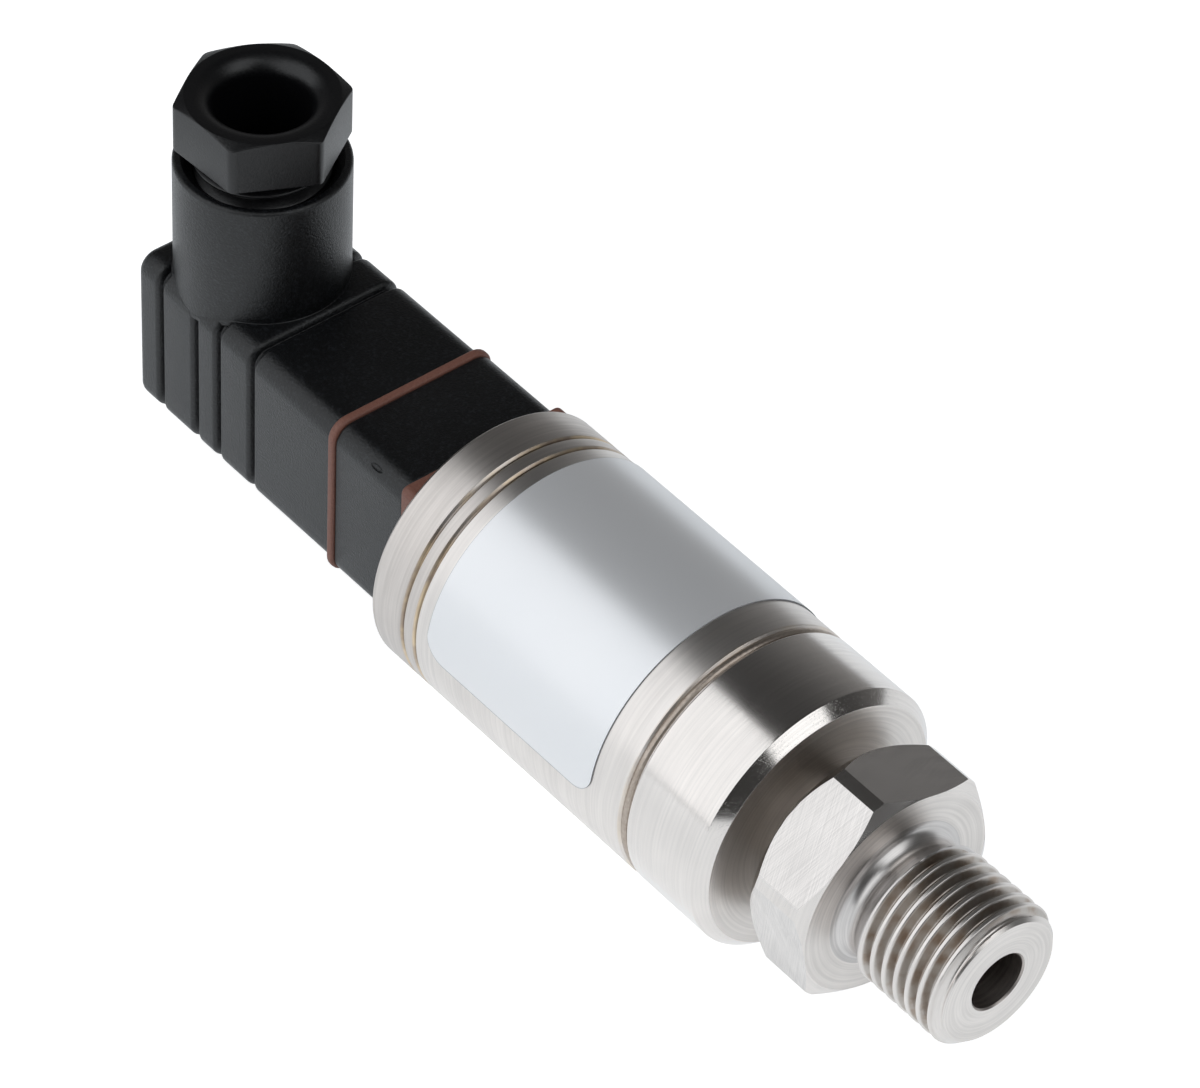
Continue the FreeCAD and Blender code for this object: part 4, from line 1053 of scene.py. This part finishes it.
place_piece("plug_base_skin", base_mesh, "sensor_body", "plug_base")

# %% [markdown]
# The cable socket is moulded in one piece with the tube of the cable gland. The block is a loft whose
# half width steps in at the four grip grooves. It is hollow, and the loft runs back through the
# screw's recess at the rear and along the inside walls.

# %% Socket block
SOCKET_HALF, SOCKET_REAR = 8.075, -89.9
FRONT_ROUND, REAR_ROUND = 0.2, 1.0
GROOVES = (-73.7, -78.45, -81.6, -86.55)
GROOVE_HALF, GROOVE_FLOOR, GROOVE_DEPTH, GROOVE_EDGE = 0.42, 0.18, 0.62, 0.5
RECESS_FACE, RECESS_RADIUS, RECESS_END, SCREW_HOLE = 4.0, 2.5, -86.5, 1.45
BOSS_RADIUS, BOSS_END = 3.9, -84.7
CAVITY_HALF, CAVITY_REAR, CAVITY_EDGE = 6.475, -88.3, 0.3

outline = [(SOCKET_FRONT, SOCKET_HALF - 1), (SOCKET_FRONT, SOCKET_HALF, FRONT_ROUND)]
for groove in GROOVES:
    outline += [(groove + GROOVE_HALF, SOCKET_HALF, GROOVE_EDGE),
                (groove + GROOVE_FLOOR, SOCKET_HALF - GROOVE_DEPTH, 0.1),
                (groove - GROOVE_FLOOR, SOCKET_HALF - GROOVE_DEPTH, 0.1),
                (groove - GROOVE_HALF, SOCKET_HALF, GROOVE_EDGE)]
outline += [(SOCKET_REAR, SOCKET_HALF, REAR_ROUND), (SOCKET_REAR, SOCKET_HALF - 2)]
block_rows = [square_ring(x, half, max(LONG_EDGE + half - SOCKET_HALF, 0.3))
              for x, half in rounded(outline, 6)]
recess = rounded([(SOCKET_REAR, RECESS_FACE), (SOCKET_REAR, RECESS_RADIUS, 0.15),
                  (RECESS_END, RECESS_RADIUS), (RECESS_END, SCREW_HOLE)])
block_rows += [round_ring(x, r) for x, r in recess]
block_rows += [round_ring(BOSS_END, SCREW_HOLE), round_ring(BOSS_END, BOSS_RADIUS),
               round_ring(CAVITY_REAR, BOSS_RADIUS)]
block_rows += [square_ring(x, CAVITY_HALF, CAVITY_EDGE) for x in (CAVITY_REAR, SOCKET_FRONT)]
block_mesh = Skin().grid(block_rows + block_rows[:1]).mesh("cable_socket_skin", grained_nylon)
print(f"socket block with {len(GROOVES)} grip grooves")

# %% [markdown]
# The tube stands on top of the block with a small fillet. A fillet of one size would stick out over
# the block's sides, so it shrinks where there is less room. Its foot sinks a little into the block,
# so that the two join cleanly.

# %% Gland tube
TUBE_X, TUBE_RADIUS, TUBE_RIM = -82.2, 7.65, 20.475
WALL_LOW, RIM_ROUND, RIM_INNER = 12, 0.4, 6.9
TUBE_FILLET, LEAST_FILLET, SIDE_MARGIN, REAR_MARGIN = 0.12, 0.02, 0.1, 0.02
SINK, FOOT_DEPTH, FOOT_RADIUS, FOOT_LOW = 0.02, 0.4, 6.2, 6.9
BLOCK_TOP = SHELL_Z + SOCKET_HALF
TINY = 1e-6
tube_angles = round_angles(128)


def block_height(x, y):
    """Height of the block's skin above the sensor axis, over its rounded edges."""
    side = min(max(abs(y - SHELL_Y) - (SOCKET_HALF - LONG_EDGE), 0), LONG_EDGE)
    rear = min(max(SOCKET_REAR + REAR_ROUND - x, 0), REAR_ROUND)
    return min(BLOCK_TOP - LONG_EDGE + math.sqrt(LONG_EDGE ** 2 - side ** 2),
               BLOCK_TOP - REAR_ROUND + math.sqrt(REAR_ROUND ** 2 - rear ** 2))


def fillet_room(angle):
    """How far a fillet can spread from the tube before it leaves the block."""
    near_side = SOCKET_HALF + (SHELL_Y if math.sin(angle) >= 0 else -SHELL_Y) - SIDE_MARGIN
    across = near_side / max(abs(math.sin(angle)), TINY) - TUBE_RADIUS
    behind = (TUBE_X - SOCKET_REAR - REAR_MARGIN) / max(-math.cos(angle), TINY) - TUBE_RADIUS
    return max(min(TUBE_FILLET, across, behind), LEAST_FILLET)


def tube_point(radius, angle, z):
    """A point at an angle about the tube's axis, which stands upright."""
    return TUBE_X + radius * math.cos(angle), radius * math.sin(angle), z


def tube_ring(radius, z):
    """A ring about the tube's axis."""
    return [tube_point(radius, a, z) for a in tube_angles]


fillet_rows = []
for turn in np.linspace(0, math.pi / 2, 9):
    row = []
    for a in tube_angles:
        room = fillet_room(a)
        x, y, _ = tube_point(TUBE_RADIUS + room * (1 - math.sin(turn)), a, 0)
        row.append((x, y, block_height(x, y) - SINK + room * (1 - math.cos(turn))))
    fillet_rows.append(row)
tube_rows = [tube_ring(0, FOOT_LOW), tube_ring(FOOT_RADIUS, FOOT_LOW)]
tube_rows.append([(x, y, z - FOOT_DEPTH) for x, y, z in fillet_rows[0]])
rim = rounded([(TUBE_RADIUS, WALL_LOW), (TUBE_RADIUS, TUBE_RIM, RIM_ROUND), (RIM_INNER, TUBE_RIM)], 6)
tube_rows += fillet_rows + [tube_ring(r, z) for r, z in rim] + [tube_ring(0, TUBE_RIM)]
tube_mesh = Skin().grid(tube_rows).mesh("gland_tube")
print(f"gland tube of {len(tube_rows)} rings")

# %% [markdown]
# Inside, the tube has a thread for the gland screw above a hole for the cable. The thread's rows
# climb as on the port, so the bore is skinned as one solid plug and cut out of the socket.

# %% Bore of the gland tube
BORE_RADIUS, CABLE_HOLE, GLAND_SEAT, HOLE_LOW = 6.0, 3.7, 8.575, 5
GLAND_PITCH, GLAND_FLANK, GLAND_ROUND = 1.5, math.radians(30), 0.12
LEAD_IN, BORE_THREAD = 0.95, 0.35
BORE_LOW, BORE_HIGH = 13.0, TUBE_RIM - LEAD_IN + BORE_THREAD
LEAD_EDGE = 0.02


def gland_tooth(z, angle, crest):
    """Radius of the gland's thread at a height and an angle."""
    climb = GLAND_PITCH * angle / FULL_TURN
    return tooth(z - climb, GLAND_PITCH, GLAND_FLANK, GLAND_ROUND, crest)


def gland_rows(low, high, angles, point, steps=7):
    """Rows that climb with the gland's thread, once round."""
    stations = tooth_stations(low, high, 0, GLAND_PITCH, GLAND_FLANK, GLAND_ROUND, steps)
    return helix_rows(stations, GLAND_PITCH, np.append(angles, FULL_TURN), low, high, point)


def bore_point(z, angle):
    """The thread in the tube, with its run-out below and its lead-in above."""
    crest = gland_tooth(z, angle, BORE_RADIUS + BORE_THREAD)
    run_out = BORE_RADIUS + z - BORE_LOW
    lead_in = BORE_RADIUS + z - (TUBE_RIM - LEAD_IN)
    return tube_point(max(BORE_RADIUS, min(crest, run_out), lead_in), angle, z)


mouth_radius = BORE_RADIUS + LEAD_IN + LEAD_EDGE
below = ((0, HOLE_LOW), (CABLE_HOLE, HOLE_LOW), (CABLE_HOLE, GLAND_SEAT), (BORE_RADIUS, GLAND_SEAT),
         (BORE_RADIUS, BORE_LOW))
above = ((BORE_RADIUS + BORE_THREAD, BORE_HIGH), (mouth_radius, TUBE_RIM + LEAD_EDGE),
         (mouth_radius, TUBE_RIM + 1), (0, TUBE_RIM + 1))
bore = Skin()
bore.grid([tube_ring(r, z) for r, z in below])
bore.grid(gland_rows(BORE_LOW, BORE_HIGH, tube_angles, bore_point, steps=3), wrap=False)
bore.grid([tube_ring(r, z) for r, z in above])
socket_mesh = carve(carve(block_mesh, "UNION", tube_mesh), "DIFFERENCE", bore.mesh("gland_bore"))
place_piece("cable_socket_skin", socket_mesh, "cable_socket", "socket_housing")

# %% [markdown]
# The gland screw is a hollow hexagon screw. Its head has softly rounded corners and a mouth that is
# dished so that it doesn't cut the cable. The rounded hexagon is a polar radius, so the head, the
# thread below it and the bore are one set of loops.

# %% Head of the gland screw
GLAND_FLAT, GLAND_CORNER, GLAND_TURN = 6.675, 0.75, math.radians(32.4)
HEAD_LOW, HEAD_TOP = 22.175, 27.175
SHANK_LOW, SHANK_RADIUS, GLAND_BORE = 14.375, 5.95, 4.2
NECK_INSET, TIP_INSET = 0.6, 0.7
MOUTH_ROUND, BEVEL_RIM, BEVEL_SLOPE = 1.7, 6.6, math.tan(math.radians(22))


def hexagon_radius(angle):
    """Polar radius of the head, a hexagon with rounded corners."""
    turn = abs((angle - GLAND_TURN + SIXTH / 2) % SIXTH - SIXTH / 2)
    centre = (GLAND_FLAT - GLAND_CORNER) / math.cos(SIXTH / 2)
    off = SIXTH / 2 - turn
    straight = GLAND_FLAT / math.cos(turn)
    if off >= math.asin(GLAND_CORNER * math.sin(SIXTH / 2) / straight):
        return straight
    sagitta = math.sqrt(max(GLAND_CORNER ** 2 - (centre * math.sin(off)) ** 2, 0))
    return centre * math.cos(off) + sagitta


def head_column(angle):
    """One column of the screw: underside, flat, bevel, dished mouth, bore and lower end."""
    reach = hexagon_radius(angle)
    bevel_low = HEAD_TOP - (reach - BEVEL_RIM) * BEVEL_SLOPE
    head = rounded([(SHANK_RADIUS - NECK_INSET, HEAD_LOW), (reach, HEAD_LOW, 0.2),
                    (reach, bevel_low, 0.15), (BEVEL_RIM, HEAD_TOP, 0.15),
                    (GLAND_BORE + MOUTH_ROUND, HEAD_TOP)])
    mouth = [(GLAND_BORE + MOUTH_ROUND * (1 - math.sin(t)), HEAD_TOP - MOUTH_ROUND * (1 - math.cos(t)))
             for t in np.linspace(0, math.pi / 2, 11)[1:]]
    lower_end = [(GLAND_BORE, SHANK_LOW), (SHANK_RADIUS - TIP_INSET, SHANK_LOW)]
    return [tube_point(r, angle, z) for r, z in [*head, *mouth, *lower_end]]


print(f"head {2 * GLAND_FLAT} mm across its flats")

# %% Gland screw
def shank_point(z, angle):
    """The screw's thread, with its run-outs at the tip and under the head."""
    crest = gland_tooth(z, angle, SHANK_RADIUS)
    tip = SHANK_RADIUS - TIP_INSET + z - SHANK_LOW
    under_head = SHANK_RADIUS - NECK_INSET + HEAD_LOW - z
    return tube_point(min(crest, tip, under_head), angle, z)


gland_angles = round_angles(2 * SEGMENTS)
gland = Skin()
gland.grid(gland_rows(SHANK_LOW, HEAD_LOW, gland_angles, shank_point), wrap=False)
gland.grid(np.swapaxes([head_column(a) for a in gland_angles], 0, 1))
gland_mesh = gland.mesh("gland_screw_skin", smooth_nylon)
place_piece("gland_screw_skin", gland_mesh, "gland_screw", "gland_screw")

# %% [markdown]
# The central screw that holds the socket sits in a recess at the rear. Its cheese head has a turned
# edge and a slot for a driver. Its thread is deep inside and never seen, so the shank stays plain.

# %% Fixing screw
SCREW_TIP, TIP_RADIUS, TIP_CHAMFER = -57.0, 0.95, 0.3
SCREW_RADIUS, SCREW_HEAD = 1.25, 2.3
HEAD_FRONT, HEAD_REAR = -87.5, -89.5
SLOT_FLOOR, SLOT_LENGTH, SLOT_WIDTH = -88.7, 6, 0.6

screw = rounded([
    (SCREW_TIP, 0), (SCREW_TIP, TIP_RADIUS), (SCREW_TIP - TIP_CHAMFER, SCREW_RADIUS),
    (HEAD_FRONT, SCREW_RADIUS), (HEAD_FRONT, SCREW_HEAD, 0.1), (HEAD_REAR, SCREW_HEAD, 0.35),
    (HEAD_REAR, 0)])
screw_rows = [[polar(x, r, a) for a in round_angles(64)] for x, r in screw]
screw_mesh = Skin().grid(screw_rows).mesh("fixing_screw_skin", zinc_steel)
driver_slot = bar("driver_slot", SLOT_FLOOR, HEAD_REAR - 1, 0, 0, SLOT_LENGTH, SLOT_WIDTH)
screw_mesh = carve(screw_mesh, "DIFFERENCE", driver_slot)
place_piece("fixing_screw_skin", screw_mesh, "fixing_screw", "fixing_screw")

# %% [markdown]
# The photograph was taken on a bright white table in a dark room, with one large soft light to the
# left and one in front. The dark room is why the top of the steel is nearly black between bright
# sides. The lamps, the table and the room's glow are set the same way here.

# %% Table
TABLE_TOP, TABLE_REACH = -12.56, 3000
COOL_WHITE, SHADED_WHITE = colour(184, 189, 193), colour(231, 231, 231)
TABLE_WHITE = (0.86, 0.86, 0.86, 1.0)
NEAR, FAR = 150, 320

table_rows = [[(x, y, TABLE_TOP) for x in (-TABLE_REACH, TABLE_REACH)]
              for y in (-TABLE_REACH, TABLE_REACH)]
table_mesh = Skin().grid(table_rows, wrap=False).mesh("table")
table = bpy.data.objects.new("table", table_mesh)
scene.collection.objects.link(table)
white_table = Finish("white_table", Roughness=0.9, Specular_IOR_Level=0.1, Base_Color=TABLE_WHITE,
                     Emission_Strength=1.0)
x, y, z = white_table.place()
seen = white_table.mix((x * x + y * y).step(NEAR ** 2, FAR ** 2), SHADED_WHITE, WHITE)
camera_ray, glossy_ray, clear_ray = white_table.rays(
    "Is Camera Ray", "Is Glossy Ray", "Is Transmission Ray")
mirrored = white_table.mix(glossy_ray, BLACK, COOL_WHITE)
white_table.feed("Emission Color", white_table.mix(camera_ray.at_least(clear_ray), mirrored, seen))
table_mesh.materials.append(white_table.material)
print(f"table at {TABLE_TOP} mm")

# %% Lamps
LAMP_DISTANCE = 0.7
LAMP_TARGET = Vector((-40, 0, 0)) * MM


def soft_light(name, azimuth, elevation, width, height, radiance, tint):
    """A rectangular soft light that faces the sensor."""
    lamp = bpy.data.lights.new(name, "AREA")
    lamp.shape = "RECTANGLE"
    lamp.size, lamp.size_y = width, height
    lamp.energy = radiance * math.pi * width * height
    lamp.color = tint
    holder = bpy.data.objects.new(name, lamp)
    azimuth, elevation = math.radians(azimuth), math.radians(elevation)
    level = math.cos(elevation)
    aim = Vector((level * math.cos(azimuth), level * math.sin(azimuth), math.sin(elevation)))
    holder.location = LAMP_TARGET + aim * LAMP_DISTANCE
    holder.rotation_euler = aim.to_track_quat("Z", "Y").to_euler()
    scene.collection.objects.link(holder)


soft_light("left_light", azimuth=-112, elevation=35.5, width=1.15, height=0.96, radiance=1.2,
           tint=(0.94, 0.97, 1.0))
soft_light("front_light", azimuth=14, elevation=50, width=0.5, height=0.75, radiance=1.35,
           tint=(0.95, 0.98, 1.0))
print("two soft lights")

# %% [markdown]
# The room is dark, but its far wall catches some of the light from the table, most near the floor.
# Steel shows this as a grey band, so the glow depends on the direction. A camera ray sees plain
# white instead, which makes the backdrop.

# %% Room
FAR_WALL = math.radians(120)
DARK_GLOW, WALL_GLOW, HAZE_POWER = 0.045, 0.22, 1.5

world = bpy.data.worlds.new("dark_room")
scene.world = world
world.use_nodes = True
world.node_tree.nodes.clear()
room = Pattern(world.node_tree)
x, y, z = room.parts(room.node("ShaderNodeTexCoord", output="Generated"))
wall = (x * math.cos(FAR_WALL) + y * math.sin(FAR_WALL)).step(0.2, 1.0)
haze = (1 - z.at_least(0.0)) ** HAZE_POWER
glow_colour = room.mix(wall * haze * WALL_GLOW + DARK_GLOW, BLACK, WHITE)
glow = room.node("ShaderNodeBackground", sockets={"Color": glow_colour})
backdrop = room.node("ShaderNodeBackground", sockets={"Color": WHITE})
camera_ray, = room.rays("Is Camera Ray")
choice = room.node("ShaderNodeMixShader", sockets={0: camera_ray, 1: glow, 2: backdrop})
room.node("ShaderNodeOutputWorld", sockets={"Surface": choice})
print("dark room with a far wall")
